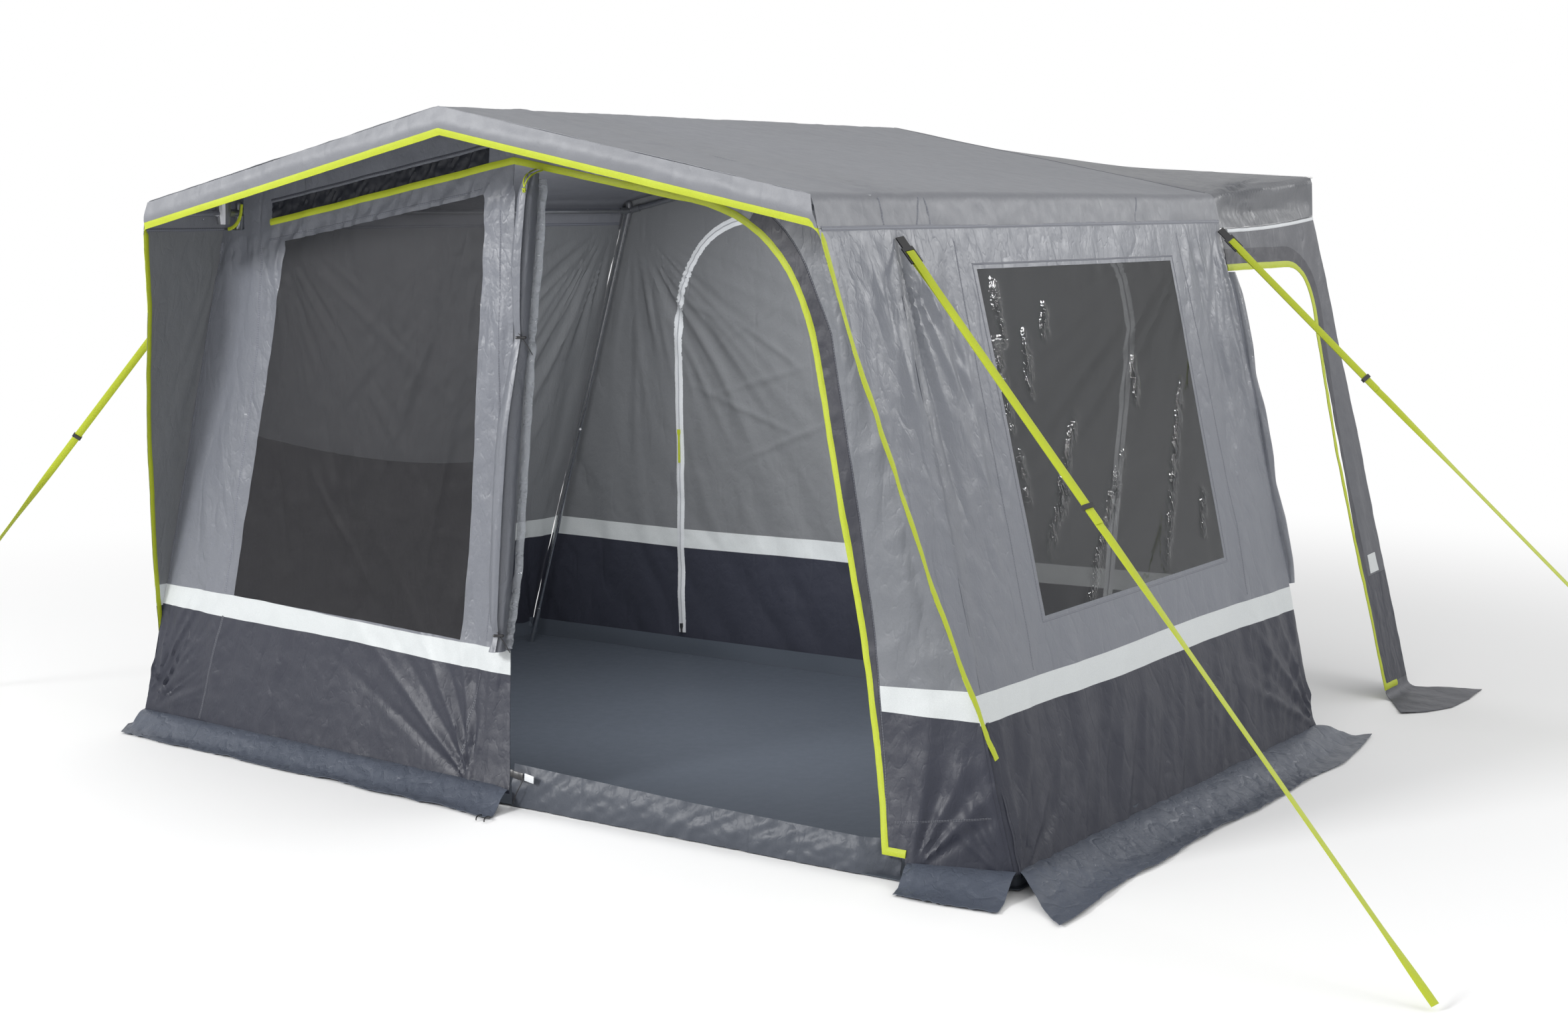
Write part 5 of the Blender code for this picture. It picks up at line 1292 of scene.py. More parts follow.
REAR, RAFTERS = (rear_wall, rear_folds), ["rafter_rear_left", "rafter_rear_right"]
foot, low, high = (zigzag(line, left_limit(z), inner_limit(z)) for line, z in (
    (foot_line, WALL_FOOT), (rear_low, 0.44), (rear_high, 0.515)))
peak = [(x, float(under_roof(x))) for x in (PEAK_X, 0.0, -PEAK_X)]
top = at_heights(inner_limit, PEAK_Z) + peak + at_heights(left_limit, PEAK_Z)
panel("rear_lower", REAR, foot + low[::-1], "dark", on=RAFTERS)
panel("rear_band", REAR, low + high[::-1], "stripe", on=RAFTERS)
# The upper rear panel takes the darker inner cloth: painted shade of a wall seen from inside.
panel("rear_upper", REAR, high + top, "inner", "wall_rear", "rear_door", on=RAFTERS)
bind("rear_zip_tape", REAR, ZIP_ARCH, 0.040, "zip", "zip_tape", "rear_zip", inner=0.0030, outer=0.0016)
bind("rear_zip_coil", REAR, ZIP_ARCH, 0.007, "coil", "zip_tape", inner=0.0044, outer=0.0030)
print("rear wall sewn")

# %% [markdown]
# ## Porch edge
# The roof's front edge carries a valance along the gable, and one lime binding runs from the foot of
# one wing over the gable to the other.

# %% Porch valance and binding
def gable_surface(x, z):
    return points(x, PORCH_Y + 0.0 * z, z)


def gable_folds(x, z):
    """The valance bellies a little between its seams and has long flat ripples."""
    share = ramp(roof_z(x) - z, VALANCE)
    total = 0.008 * np.sin(math.pi * share) ** 1.5 + 0.004 * pulled(np.abs(x), z, -12, 0.5, 0.05, 61)
    return total + crumple(x, z, 62, 0.12, 0.0009)


def gable_low(x):
    return roof_z(x) - VALANCE


bottom = zigzag(gable_low, -SEAM_X + 0.004, SEAM_X - 0.004, 0.02)
top = [(EAVE_X - 0.002, EAVE - 0.002), (0, RIDGE - 0.002), (-EAVE_X + 0.002, EAVE - 0.002)]
panel("porch_valance", (gable_surface, gable_folds), bottom + top, "roof", slot="roof_cloth",
      on=["roof_cover"], held="hung", step=0.010)
HEM, BEND, LEFT_BEND = 0.020, 0.030, 0.012
free_edge = dense(WING_EDGE, 0.008)
wing, left_wing = (offset([p for p in free_edge if p[1] < WALL_TOP - bend], HEM / 2) for bend in (BEND, LEFT_BEND))
over = zigzag(lambda x: gable_low(x) + HEM / 2, -SEAM_X + LEFT_BEND, SEAM_X - BEND, 0.02)
border = [tape_rings(left_wall, [(-y, z) for y, z in left_wing][::-1], HEM, lambda u, z: left_folds(-u, z)),
          tape_rings(gable_surface, over, HEM, gable_folds), tape_rings(right_wall, wing, HEM, side_folds)]


def round_corner(before, after, count=6):
    """Sections that turn softly from one wall's plane into the next."""
    a, b = before[-1], after[0]
    t = np.linspace(0, 1, count + 2)[1:-1, None, None]
    reach = np.linalg.norm(b.mean(0) - a.mean(0)) * 0.5
    tips = [end + out / np.linalg.norm(out.mean(0)) * reach
            for end, out in ((a, before[-1] - before[-4]), (b, after[0] - after[3]))]
    corner = (tips[0] + tips[1]) / 2
    return (1 - t) ** 2 * a + 2 * t * (1 - t) * corner + t ** 2 * b


rings = [border[0], round_corner(border[0], border[1]), border[1], round_corner(border[1], border[2]), border[2]]
dress(tape("porch_binding", np.concatenate(rings)), "lime", "lime_tape", "front_piping")
print("porch edge bound")

# %% [markdown]
# ## Tunnel
# The tunnel's roof changes from the room's ridged section to the flatter one at the van, so its
# surface blends two section lines. Its right side is mostly a doorway with a narrow wall beside the
# van.

# %% Tunnel
VAN_EDGE, VAN_SHOULDER, VAN_RIDGE = (1.296, 1.902), (0.520, 1.952), 1.985
VAN_BASE, VAN_WALL_TOP = 1.730, (1.315, 1.706)
TUNNEL_START, TUCK_DEPTH = ROOF_REAR + 0.0003, 0.025


def tunnel_x(y, z):
    """How far out the tunnel's side is: it leans like the room's wall at first and less at the van."""
    share = (y - rear_y(z)) / (VAN_Y - rear_y(z))
    slope = (VAN_BASE - VAN_WALL_TOP[0]) / VAN_WALL_TOP[1]
    return side_x(z) * (1 - share) + (VAN_BASE - slope * z) * share


def tunnel_seam(y):
    """The height of the seam between the tunnel's roof and its sides."""
    share = (y - ROOF_REAR) / (VAN_Y - ROOF_REAR)
    return 1.722 + 0.037 * share ** 2


def section(half, top):
    """A roof line through its right half's corners and their mirror, with length from -1 to 1."""
    run, x, z = bent([(-x, z) for x, z in half] + [(0, top)] + half[::-1], [0.02, 0.02, 0.03, 0.02, 0.02])
    return run / run[-1] * 2 - 1, x, z


def tunnel_roof_surface(s, y):
    """Blends the room's section with the van's. s runs from -1 at the left seam to 1 at the right."""
    share = ramp(y - TUNNEL_START, VAN_Y - TUNNEL_START)
    x, z, seam, side = 0.0, 0.0, 0.0, 0.0
    for end_y, half, top, weight in (
            (TUNNEL_START, [(EAVE_X, EAVE), (0.52, float(roof_z(0.52)))], RIDGE, 1 - share),
            (VAN_Y, [VAN_EDGE, VAN_SHOULDER], VAN_RIDGE, share)):
        low = float(tunnel_seam(end_y))
        out = float(tunnel_x(end_y, low))
        run, line_x, line_z = section([(out, low), *half], top)
        x, z = x + np.interp(s, run, line_x) * weight, z + np.interp(s, run, line_z) * weight
        seam, side = seam + low * weight, side + out * weight
    hanging = ramp(np.abs(s) - 0.90, 0.10)
    true_z = tunnel_seam(np.clip(y, TUNNEL_START, VAN_Y))
    true_x = tunnel_x(np.clip(y, TUNNEL_START, VAN_Y), true_z)
    return points(x + np.sign(s) * (true_x - side) * hanging, y, z + (true_z - seam) * hanging)


def tunnel_roof_folds(s, y):
    """Drapes over the side seams, waves from the room's eaves and a tuck below the room's roof."""
    away = np.abs(s)
    hanging = ramp(away - 0.915, 0.02)
    drape = -0.012 * hanging * np.sin(math.pi * ramp(away - 0.91, 0.09))
    low = ramp(away - 0.84, 0.05) * ramp(1.0 - away, 0.02)
    waves = low * 0.006 * pulled(s * 1.4, y, 93, 0.6, 0.035, 71)
    waves = waves + rays(away * 1.4, y, (1.29, 1.00), 88, 26, 11, 0.95, 0.009, 74)
    ends = ramp(y - TUNNEL_START, 0.06) * ramp(VAN_Y - y, 0.06)
    tuck = 0.0032 * ramp(TUNNEL_START + 0.012 - y, 0.012)
    return (drape + waves + 0.004 * swell(s * 4, y * 3, 72)) * ends + 0.0007 * swell(s * 9, y * 7, 73) - tuck


tunnel_roof = sew("tunnel_cover", tunnel_roof_surface, rectangle(-1, TUNNEL_START - TUCK_DEPTH, 1, VAN_Y),
                  folds=tunnel_roof_folds, step=0.014)
dress(tunnel_roof, "canopy", "roof_cloth", "tunnel_roof", on=["keder_strip", "eave_pole_right"])
print("tunnel roof sewn", len(tunnel_roof.data.polygons))

# %% [markdown]
# ## Tunnel sides
# The right side's cloth is drawn past its foot: there the surface bends outwards and runs on along the
# ground, so one flat piece makes both the wall and the flap that lies beside it.

# %% Tunnel sides
FOOT_Y, PROUD = 1.687, -0.0016


def tunnel_right(y, v):
    """The right side. Below its foot the cloth bends outwards and lies on the ground."""
    bend = WALL_FOOT - 0.003
    run = np.maximum(0.0, WALL_FOOT - v)
    angle = np.minimum(run / bend, math.pi / 2)
    out = bend * (1 - np.cos(angle)) + np.maximum(0.0, run - bend * math.pi / 2)
    z = np.where(v >= WALL_FOOT, v, WALL_FOOT - bend * np.sin(angle))
    return points(tunnel_x(y, np.maximum(v, WALL_FOOT)) + out, y, z)


def tunnel_left(u, v):
    return points(-tunnel_x(-u, v), -u, v)


def tunnel_folds(u, v):
    return 0.004 * pulled(u, v, 80, 0.5, 0.09, 81) + crumple(u, v, 82, 0.14, 0.0008)


TUNNEL = tunnel_right, tunnel_folds
DOOR_ARC = rounded((1.560, 1.588), (1.785, 1.590), (1.764, 1.420), 10)
side_top = [(float(y), float(tunnel_seam(y)) - 0.001) for y in (VAN_Y, 1.72, 1.5, 1.28, 1.09)]
front_seam = [(float(rear_y(1.70)) + 0.004, 1.71), (float(rear_y(1.6)) + 0.004, 1.6)]
right_side = [(FOOT_Y, WALL_FOOT), (FOOT_Y - 0.02, -0.01), (1.480, -0.105), (1.560, -0.177), (1.678, -0.232),
              (1.850, -0.246), (2.041, -0.240), (VAN_Y + 0.02, -0.06), (VAN_Y, WALL_FOOT), *side_top,
              *front_seam, *DOOR_ARC, (FOOT_Y, 0.06)]
left_side = [(float(rear_y(0.01)) + 0.004, 0.004), (VAN_Y, 0.004), *side_top, *front_seam[:1]]
panel("tunnel_side_right", TUNNEL, right_side, "side", "tunnel_wall_right", on=["keder_strip"])
# The left side takes the darker shade cloth: painted shade.
panel("tunnel_side_left", (tunnel_left, tunnel_folds), [(-y, z) for y, z in left_side][::-1], "shade",
      "tunnel_wall_left", on=["keder_strip"])
door_edge = [(float(rear_y(1.59)) + 0.006, 1.588), *DOOR_ARC, (FOOT_Y, 0.9), (FOOT_Y, 0.045), (FOOT_Y + 0.13, 0.041)]
bind("tunnel_door_binding", TUNNEL, door_edge, 0.024, "lime", "lime_tape", "tunnel_piping", outer=0.0030)
inner = [p for p in door_edge[:-1] if p[1] > 0.05]
outer = [p for p in offset(inner, 0.062) if p[1] > 0.36] + [(FOOT_Y + 0.055, 0.40)]
for name, finish, slot, cut in (
        ("tunnel_facing", "band", "dark_cloth", inner[:-1] + [(FOOT_Y, 0.40)] + outer[::-1]),
        ("tunnel_patch", "stripe", "light_cloth", rectangle(FOOT_Y + 0.085, 0.445, FOOT_Y + 0.185, 0.512)),
        ("tunnel_lower", "dark", "dark_cloth", rectangle(FOOT_Y, 0.046, VAN_Y - 0.004, 0.437))):
    panel(name, TUNNEL, cut, finish, slot=slot, on=["tunnel_side_right"], behind=PROUD, step=0.010)
seam_path = [(y, float(tunnel_seam(y)) - 0.010) for y in np.linspace(1.10, VAN_Y - 0.004, 14)]
bind("tunnel_zip", TUNNEL, seam_path, 0.012, "zip", "zip_tape", outer=0.0030)
print("tunnel sewn")

# %% [markdown]
# ## Rolls
# A door that is rolled up and tied bulges between its ties. Its section is a spiral of cloth with its
# last turn standing a little open. Lumps drift along the roll, so that the layers' edges show.

# %% Rolled doors
ROLL_END, ROLLED_CLOTH = math.radians(-60), 0.0016
DOOR_ROLL = [(0.085, 1.9115, 0.026), (0.078, 1.840, 0.042), (0.060, 1.640, 0.044), (0.046, 1.480, 0.033),
             (0.042, 1.420, 0.026), (0.037, 1.350, 0.034), (0.014, 1.150, 0.048), (-0.006, 0.900, 0.049),
             (-0.020, 0.700, 0.047), (-0.032, 0.560, 0.038), (-0.036, 0.510, 0.027), (-0.036, 0.455, 0.034)]
TUNNEL_ROLL = [(1.575, 0.024), (1.500, 0.034), (1.330, 0.036), (1.220, 0.027), (1.100, 0.036),
               (0.940, 0.034), (0.860, 0.025), (0.740, 0.035), (0.600, 0.033), (0.520, 0.022)]


def rolled(name, path, turns, open_end, seed, rings=90):
    """A door wound up from its edge, through (centre, radius) places."""
    places = np.array([[*c, r] for c, r in path])
    t = np.linspace(0, len(places) - 1, rings)
    columns = [np.interp(t, range(len(places)), places[:, k]) for k in range(4)]
    soft = [0.1, 0.2, 0.4, 0.2, 0.1]
    x, y, z, r = (np.convolve(np.pad(c, 2, mode="edge"), soft, "valid")[:, None] for c in columns)
    turn = np.linspace(0, 2 * math.pi * turns, int(26 * turns))
    share = turn / turn[-1]
    row = np.arange(rings)[:, None]
    lumps = 1 - 0.10 * np.abs(np.sin(2.5 * turn + 0.04 * row))
    lumps = lumps + 0.07 * swell(turn * 1.3 + 0 * row, row / 8 + 0 * turn, seed)
    reach = (0.18 + (0.82 - open_end) * share) * r * lumps
    reach = reach + open_end * r * ramp(share - 0.94, 0.06) ** 1.5
    start = turn - turn[-1] + ROLL_END
    outer, inner = (np.stack([x + d * np.cos(start), y + d * np.sin(start), z + 0 * d], -1)
                    for d in (reach, reach - ROLLED_CLOTH))
    obj = loft(name, np.concatenate([outer, inner[:, ::-1]], 1), angle=60)
    return obj


door_path = []
for x, z, r in DOOR_ROLL:
    wall_y = float(front_wall(np.array(min(x, DOOR_LEFT)), np.array(z))[1])
    door_path.append(((x, wall_y - r - 0.0015, z), r))
path = [((float(side_x(z)) - 0.004, float(rear_y(z)) + r + GAP, z), r) for z, r in TUNNEL_ROLL]
dress(rolled("rolled_door", door_path, 4.5, 0.12, 91), "light", "light_cloth", "door_bundle",
      on=["door_binding"], held="folded")
dress(rolled("rolled_tunnel_door", path, 3.5, 0.10, 92), "light", "light_cloth", "tunnel_bundle",
      on=["wall_right_upper"], held="folded")
print("doors rolled")

# %% [markdown]
# ## Cords
# A cord is a round tube along a curve. `sweep` draws such a curve from a few corners by blending
# neighbours again and again, until one point is left for each place along it.

# %% Cords and the film at the rolled door's edge
def tube(name, path, radius, finish, slot, around=8):
    """A round cord or wire through points."""
    line = np.array(path, float)
    along = np.gradient(line, axis=0)
    along /= np.linalg.norm(along, axis=1, keepdims=True)
    side = np.cross(along, (0.31, 0.83, 0.46))
    side /= np.linalg.norm(side, axis=1, keepdims=True)
    up = np.cross(side, along)
    turn = np.linspace(0, 2 * math.pi, around, endpoint=False)[:, None, None]
    rings = (line + radius * (side * np.cos(turn) + up * np.sin(turn))).transpose(1, 0, 2)
    return dress(loft(name, rings), finish, slot)


def hang(name, path, radius, finish):
    """A short free cord."""
    line = [tuple(float(c) for c in p) for p in path]
    cord = tube(name, line, radius, finish, "lime_tape" if finish == "lime" else "black_plastic")


def sweep(*corners):
    """A smooth line from the first corner to the last that leans to those between."""
    line, spots = np.array(corners, float), np.linspace(0, 1, 14)[:, None]
    while len(line.shape) == 2:
        line = np.repeat(line[None], len(spots), 0)
    while line.shape[1] > 1:
        line = line[:, :-1] * (1 - spots[:, :, None]) + line[:, 1:] * spots[:, :, None]
    return line[:, 0]


SEEN_RIGHT, SEEN_NEAR = np.array([0.738, 0.675, 0.0]), np.array([0.675, -0.738, 0.0])
FILM_STRIP = 0.028
rows = np.array([np.add(c, (r + 0.002) * SEEN_RIGHT + 0.30 * r * SEEN_NEAR) for c, r in door_path])
spots = np.linspace(0.3, len(rows) - 1.2, 160)
rows = np.stack([np.interp(spots, range(len(rows)), rows[:, k]) for k in range(3)], 1)
for way, scale, seed in ((SEEN_RIGHT, 2.1, 131), (SEEN_NEAR, 2.7, 132)):
    rows = rows + way * (0.005 * swell(spots * scale, spots * 0, seed))[:, None]
strip = ribbon("rolled_film", rows, SEEN_RIGHT * 0.9 + SEEN_NEAR * 0.43, FILM_STRIP, 0.0010)
mark(strip, "crease", np.repeat(0.35 + 0.65 * np.clip(0.5 + swell(spots * 3, spots * 0, 133), 0, 1), 8))
dress(strip, "glossy_film", "clear_film", on=["rolled_door"], held="hung")

STRANDS = {
    "loop_left": [(0.084, -1.060, 1.920), (0.086, -1.118, 1.908), (0.089, -1.130, 1.885), (0.0965, -1.130, 1.866)],
    "loop_right": [(0.108, -1.060, 1.916), (0.107, -1.118, 1.906), (0.104, -1.130, 1.885), (0.0980, -1.131, 1.866)]}
for name, corners in STRANDS.items():
    hang(name, sweep(*corners), 0.0024, "lime")
a = np.linspace(0.2, 2 * math.pi - 0.2, 40)
knot = np.stack([np.sin(a) + 2 * np.sin(2 * a), -np.sin(3 * a), np.cos(a) - 2 * np.cos(2 * a)], 1) * 0.0021
tube("loop_knot", knot + (0.097, -1.132, 1.858), 0.0022, "lime", "lime_tape")
TOGGLE_CORD = [(-0.016, 0, 0.012), (0, -0.006, 0.004), (0.012, 0.004, -0.02), (0.030, 0.010, -0.052)]
for number, z in enumerate((1.430, 0.515)):
    centre, r = min(door_path, key=lambda p: abs(p[0][2] - z))
    spot = np.array(centre) + SEEN_NEAR * (r + 0.004)
    hang(f"toggle_cord_{number}", sweep(*[spot + corner for corner in TOGGLE_CORD]), 0.0016, "black")
print("cords hung")

# %% [markdown]
# ## Ground
# The groundsheet is a shallow tray with a raised threshold in the doorway. The threshold is cut flat
# at its true height, and its second coordinate is then stretched from 0 to 1 for its surface.

# %% Groundsheet and threshold
THRESHOLD_Y, THRESHOLD_LEAN, THRESHOLD_HEIGHT, CURB = -1.222, 0.022, 0.130, 0.075
first, last = float(jamb_x(0)) + 0.002, 1.452


def floor_surface(u, v):
    return points(u, v, 0.0028 + 0.0 * u)


def floor_folds(x, y):
    return 0.001 + 0.002 * np.abs(pulled(x, y, 20, 1.2, 0.3, 95)) + crumple(x, y, 96, 0.3, 0.0004) * 0.5


def curb_surface(u, v):
    """The groundsheet's raised rim against the walls' feet, with u running round them."""
    return points(np.interp(u, CURB_RUN, CURB_LINE[:, 0]), np.interp(u, CURB_RUN, CURB_LINE[:, 1]), v)


def curb_folds(u, v):
    return 0.004 * pulled(u, v, 0, 0.4, 0.08, 99)


def threshold_surface(x, s):
    """A low wall that rises from the floor's front edge and rolls back at its top."""
    share = ramp(x - first, last - first)
    top = THRESHOLD_HEIGHT - 0.044 * np.minimum(share, 0.5) - 0.016 * np.maximum(share - 0.5, 0)
    tucked = 0.036 * ramp(x - 1.33, 0.10)
    return points(x, THRESHOLD_Y + tucked + THRESHOLD_LEAN * s - 0.008 * np.sin(math.pi * s), s * top)


def threshold_folds(x, s):
    z = s * THRESHOLD_HEIGHT
    return 0.004 * pulled(x, z, 30, 0.12, 0.03, 97) + crumple(x, z, 98, 0.06, 0.0016)


floor_edge = [(-1.775, -1.112), (-1.2, -1.146), (-0.6, -1.185), (DOOR_LEFT, -1.221), (first, THRESHOLD_Y + 0.004),
              (last, THRESHOLD_Y + 0.004), (BOW_RIGHT, -1.221), (1.62, -1.166), (1.775, -1.112), (1.775, 0.922),
              (-1.775, 0.922)]
panel("floor_sheet", (floor_surface, floor_folds), floor_edge, "ground", "groundsheet", slot="ground_cloth",
      on=[], held="laid", step=0.03, thick=0.0025)
CURB_LINE = np.array([(-1.2, -1.128), (-1.758, -1.090), (-1.763, 0.917), (0.0, 0.919), (1.763, 0.917),
                      (1.758, -1.090), (1.60, -1.150)], float)
CURB_RUN = run_of(CURB_LINE)
panel("floor_curb", (curb_surface, curb_folds), rectangle(0, 0.0015, float(CURB_RUN[-1]), CURB), "ground",
      slot="ground_cloth", on=["floor_sheet"], held="hung", step=0.018)
sill = rectangle(first, 0.02, last, 0.99)
flat, faces = pattern([(u, v * THRESHOLD_HEIGHT) for u, v in sill], [], 0.010)
u, v = flat[:, 0], flat[:, 1] / THRESHOLD_HEIGHT
out = facing(threshold_surface, u, v)
outer = threshold_surface(u, v) + out * threshold_folds(u, v)[:, None]
dress(thicken("threshold", outer, outer - out * 0.0016, faces), "sill", "ground_cloth", on=["floor_sheet"],
      held="hung")
print("groundsheet laid")

# %% [markdown]
# ## Mud flaps
# A flap is a strip through stations. Each station is a root on the wall's foot, an outward direction
# and a width. The strip falls from its seam to the ground and lies there in low waves.

# %% Mud flaps
SEAM_FALL, FLAP_RUN = 0.055, np.linspace(0, 1, 15)
ROOT_Z = SEAM_FALL - 0.0045
SIDE_ROOT, FRONT_ROOT, REAR_ROOT = float(side_x(ROOT_Z)) + GAP, float(front_y(ROOT_Z)), float(rear_y(ROOT_Z)) - 0.01


def flap_mesh(name, stations, seed):
    """A strip through stations of (root, outward direction, width), falling to the ground."""
    roots = np.array([s[0] for s in stations], float)
    outs = np.array([unit(np.array(s[1], float)) for s in stations])
    widths = np.array([s[2] for s in stations], float)
    run = run_of(roots) + np.arange(len(roots)) * 0.012
    t = np.linspace(0, run[-1], max(40, round(run[-1] / 0.02)))
    columns = [np.interp(t, run, c)[:, None] for c in (*roots.T, *outs.T, widths)]
    x, y, out_x, out_y, width, tt, share = np.broadcast_arrays(*columns, t[:, None], FLAP_RUN)
    width = width * (1 + 0.03 * swell(tt * 6, tt * 0 + 3, seed))
    fall = 0.5 + 0.5 * np.cos(math.pi * np.minimum(1, share / 0.8))
    waves = 0.006 * np.abs(swell(tt * 9, share * 1.5, seed + 1))
    waves = waves + 0.004 * np.abs(creased(swell(tt * 14, share * 2, seed + 2)))
    z = 0.003 + (SEAM_FALL - 0.003) * fall + waves * np.minimum(1, share * 3)
    outer = np.stack([x + out_x * width * share, y + out_y * width * share, z], -1).reshape(-1, 3)
    index = np.arange(z.size).reshape(z.shape)
    quads = np.stack([index[:-1, :-1], index[1:, :-1], index[1:, 1:], index[:-1, 1:]], -1).reshape(-1, 4)
    inner = outer - (0, 0, 0.0018)
    inner[:, 2] = np.maximum(inner[:, 2], 0.0)
    obj = thicken(name, outer, inner, np.concatenate([quads[:, [0, 1, 2]], quads[:, [0, 2, 3]]]))
    fix_normals(obj)
    return obj


def front_root(x):
    return (x, float(front_wall(np.array(x), np.array(ROOT_Z))[1]) - 0.0012)


left = [((0.072, THRESHOLD_Y - 0.018), (0.35, -1), 0.155), (front_root(0.5 * DOOR_LEFT), (0.12, -1), 0.152)]
left += [(front_root(x), (0, -1), 0.145 * (1 + 0.05 * math.sin(2.3 * i)))
         for i, x in enumerate((-0.22, -0.42, -0.62, -0.82, -1.02, -1.22, -1.42, -1.60))]
left += [((-BASE_X + 0.008, FRONT_ROOT - 0.004), (0.35, -1), 0.150),
         ((-SIDE_ROOT - 0.0015, FRONT_ROOT + 0.02), (-1, -0.4), 0.035),
         ((-SIDE_ROOT - 0.0015, -0.95), (-1, 0), 0.05)]
left += [((-SIDE_ROOT, y), (-1, 0), width) for y, width in ((-0.75, 0.12), (-0.45, 0.19), (0.0, 0.21), (0.45, 0.20))]
left += [((-SIDE_ROOT, REAR_ROOT), (-1, 0.25), 0.17)]
right = [(front_root(BOW_RIGHT + 0.008), (0.25, -1), 0.125), (front_root(1.56), (0.10, -1), 0.150),
         (front_root(1.67), (0.05, -1), 0.180), ((BASE_X - 0.01, FRONT_ROOT - 0.005), (0.28, -1), 0.200),
         ((SIDE_ROOT, FRONT_ROOT + 0.012), (1, -0.90), 0.320),
         ((SIDE_ROOT, FRONT_ROOT + 0.06), (1, -0.30), 0.235)]
right += [((SIDE_ROOT, y), (1, 0), 0.198 * (1 + 0.05 * math.sin(1.9 * i)))
          for i, y in enumerate((-0.85, -0.65, -0.45, -0.22, 0.0, 0.24, 0.46, 0.68))]
right += [((SIDE_ROOT, REAR_ROOT), (1, 1.35), 0.225)]
for name, stations, seed, nodes, on in (
        ("mud_flap_front_left", left[::-1], 101, ["mud_flap_left"], "front_left_lower"),
        ("mud_flap_front_right", right[3::-1], 111, ["mud_flap_right"], "front_right_lower"),
        ("mud_flap_side_right", right[:3:-1], 114, [], "wall_right_lower")):
    dress(flap_mesh(name, stations, seed), "flap", "ground_cloth", *nodes, on=[on], held="laid")
print("mud flaps laid")

# %% [markdown]
# ## Small fittings
# The little things that a hand would find: the bound cut-out and the wire ring at the porch's left
# corner, the clip that holds the threshold, and the hooks under the mud flap's edge.

# %% Small fittings
UPRIGHT = np.array([0.0, 0.1, 1.0])
cut_out = rounded((-1.236, 1.826), (-1.246, 1.748), (-1.302, 1.744), 8)
bind("corner_binding", FRONT, cut_out, 0.012)
a = np.linspace(math.radians(40), math.radians(320), 24)
ring = np.stack([-1.318 + 0.011 * np.cos(a), -1.150 + 0 * a, 1.789 + 0.014 * np.sin(a)], 1)
tube("corner_ring", ring, 0.0012, "steel", "steel")
clip_y = THRESHOLD_Y - 0.012
clip = [(0.082 + 0.005 * i, clip_y - (0.004 if 2 < i < 8 else 0.001), 0.108 - 0.0006 * i) for i in range(11)]
tab = [(0.140 + 0.004 * i, clip_y - 0.003, 0.104 - 0.0006 * i) for i in range(10)]
dress(ribbon("threshold_clip", clip, UPRIGHT, 0.022, 0.004), "black", "black_plastic")
dress(ribbon("threshold_tab", tab, UPRIGHT, 0.022, 0.0016), "zip", "zip_tape")
cord_line = sweep((0.137, clip_y - 0.005, 0.100), (0.128, clip_y - 0.008, 0.075), (0.104, clip_y - 0.012, 0.045),
                  (0.096, clip_y - 0.008, 0.016))
hang("threshold_cord", cord_line[::-1], 0.0015, "black")
for number, x in enumerate((0.090, 0.122)):
    hook = sweep((x, -1.376, 0.010), (x + 0.002, -1.392, 0.016), (x + 0.008, -1.412, 0.012), (x + 0.008, -1.408, 0.003))
    tube(f"flap_hook_{number}", hook, 0.0022, "black", "black_plastic")
print("small fittings placed")

# %% [markdown]
# ## Frame and fittings
# The poles, joints, screws, sliders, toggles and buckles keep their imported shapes, which are right
# already, and get a finer material.

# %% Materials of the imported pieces
PACKED_LOOKS = {"steel": ("ridge_pole", "eave_pole", "rafter", "leg_"), "dark_steel": ("ridge_joint", "corner_joint"),
          "black": ("buckle", "keeper", "toggle", "rear_slider_lower"), "lime": ("rear_slider_upper",),
          "cord": ("keder_strip",)}
for name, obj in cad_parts.items():
    found = [finish for finish, starts in PACKED_LOOKS.items() if name.startswith(starts)]
    if not obj.hide_render:
        obj.data.materials.clear()
        obj.data.materials.append(finishes[found[0]])
print("packed pieces finished")

# %% [markdown]
# ## Floor and light
# The awning stands on a plain pale floor. Large soft lamps light it from both sides, and the world is
# white to the eye, to metal and to glass, but dimmer as a lamp.

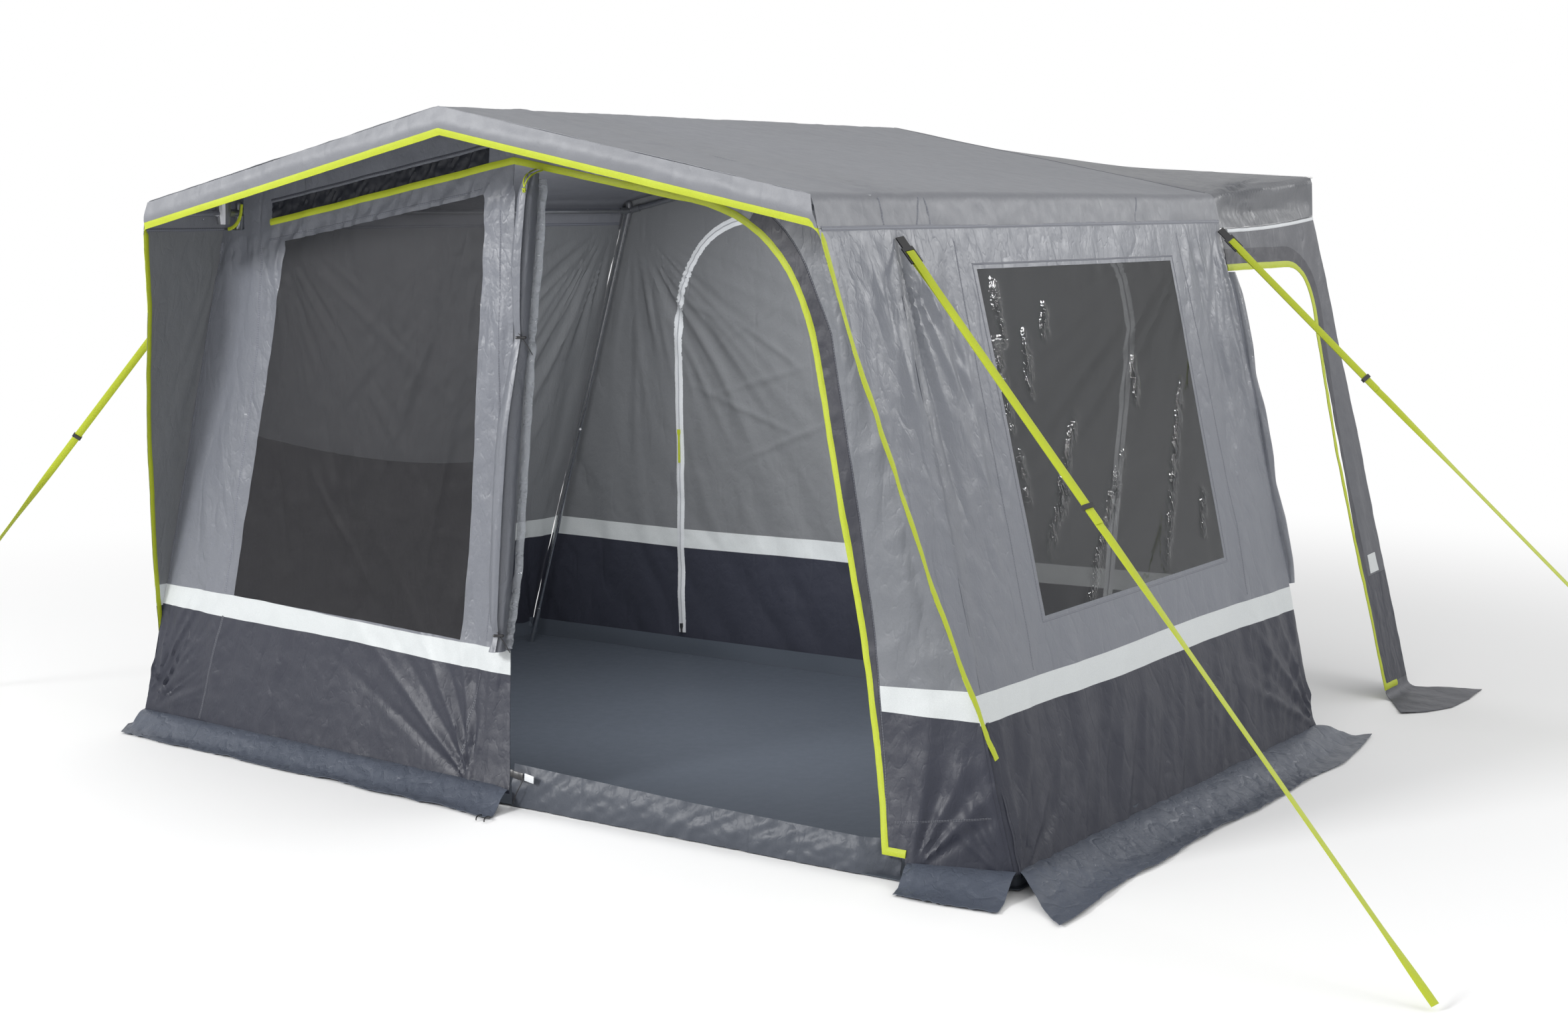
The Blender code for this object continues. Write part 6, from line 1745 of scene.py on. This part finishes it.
# %% Floor, lamps and world
FLOOR_HALF, FLOOR_Z, FADE_START, FADE_END, LAMP_SHARE = 60, -0.002, 3.4, 6.5, 0.80
floor = add_mesh("studio_floor", [(*p, FLOOR_Z) for p in rectangle(-FLOOR_HALF, -FLOOR_HALF, FLOOR_HALF, FLOOR_HALF)],
                 [(0, 1, 2, 3)], smooth=False)
f = Finish("studio_floor")
near = f.node("ShaderNodeBsdfPrincipled", None, "BSDF", **{"Base Color": (0.94, 0.94, 0.94), "Roughness": 0.9})
far = f.node("ShaderNodeEmission", None, 0, Color=(1.0, 1.0, 1.0), Strength=1.0)
distance = f.node("ShaderNodeVectorMath", {"operation": "LENGTH"}, "Value", f.place())
fade = distance.between(FADE_START, FADE_END)
floor.data.materials.append(f.close(f.node("ShaderNodeMixShader", None, 0, fade, near, far)))


def lamp(name, place, target, size, power):
    """A rectangular lamp at a place, turned to a target."""
    data = bpy.data.lights.new(name, "AREA")
    data.shape = "RECTANGLE"
    data.size, data.size_y = size
    data.energy = power
    obj = bpy.data.objects.new(name, data)
    obj.location = place
    obj.rotation_mode = "QUATERNION"
    obj.rotation_quaternion = (Vector(target) - Vector(place)).to_track_quat("-Z", "Y")
    bpy.context.collection.objects.link(obj)
    return obj


for name, place, target, size, power, hidden in (
        ("key", (-2.6, -9.6, 5.5), (0, 0, 1), (2.2, 1.8), 640, []),
        ("fill", (9.5, -0.8, 4.5), (1.5, 0.2, 1), (4, 4), 130, []),
        ("glint", (5.2, 6.0, 4.2), (1.5, 0, 1.2), (1.0, 1.0), 200, ["visible_diffuse"]),
        ("sheen", (-6.0, -8.2, 4.4), (-0.6, -1, 1.2), (2.4, 2.4), 900, ["visible_diffuse"]),
        ("inside_front", (0.0, -0.90, 1.25), (0.0, 1.0, 1.1), (1.2, 0.8), 26, ["visible_camera", "visible_glossy"]),
        ("inside_top", (0.0, 0.1, 1.90), (0.0, 0.1, 0.0), (1.4, 1.4), 22, ["visible_camera", "visible_glossy"])):
    light = lamp(name, place, target, size, power)
    for setting in hidden:
        setattr(light, setting, False)
world = bpy.data.worlds.new("studio")
bpy.context.scene.world = world
sky = Finish("studio", world)
camera_ray, glossy_ray, through_ray = (sky.node("ShaderNodeLightPath", None, "Is " + kind + " Ray")
                                       for kind in ("Camera", "Glossy", "Transmission"))
white = camera_ray.math("MAXIMUM", glossy_ray).math("MAXIMUM", through_ray)
level = white * (1.0 - LAMP_SHARE) + LAMP_SHARE
glow = sky.node("ShaderNodeBackground", None, 0, Color=(1.0, 1.0, 1.0), Strength=level)
sky.close(glow, "ShaderNodeOutputWorld")
print("lit")
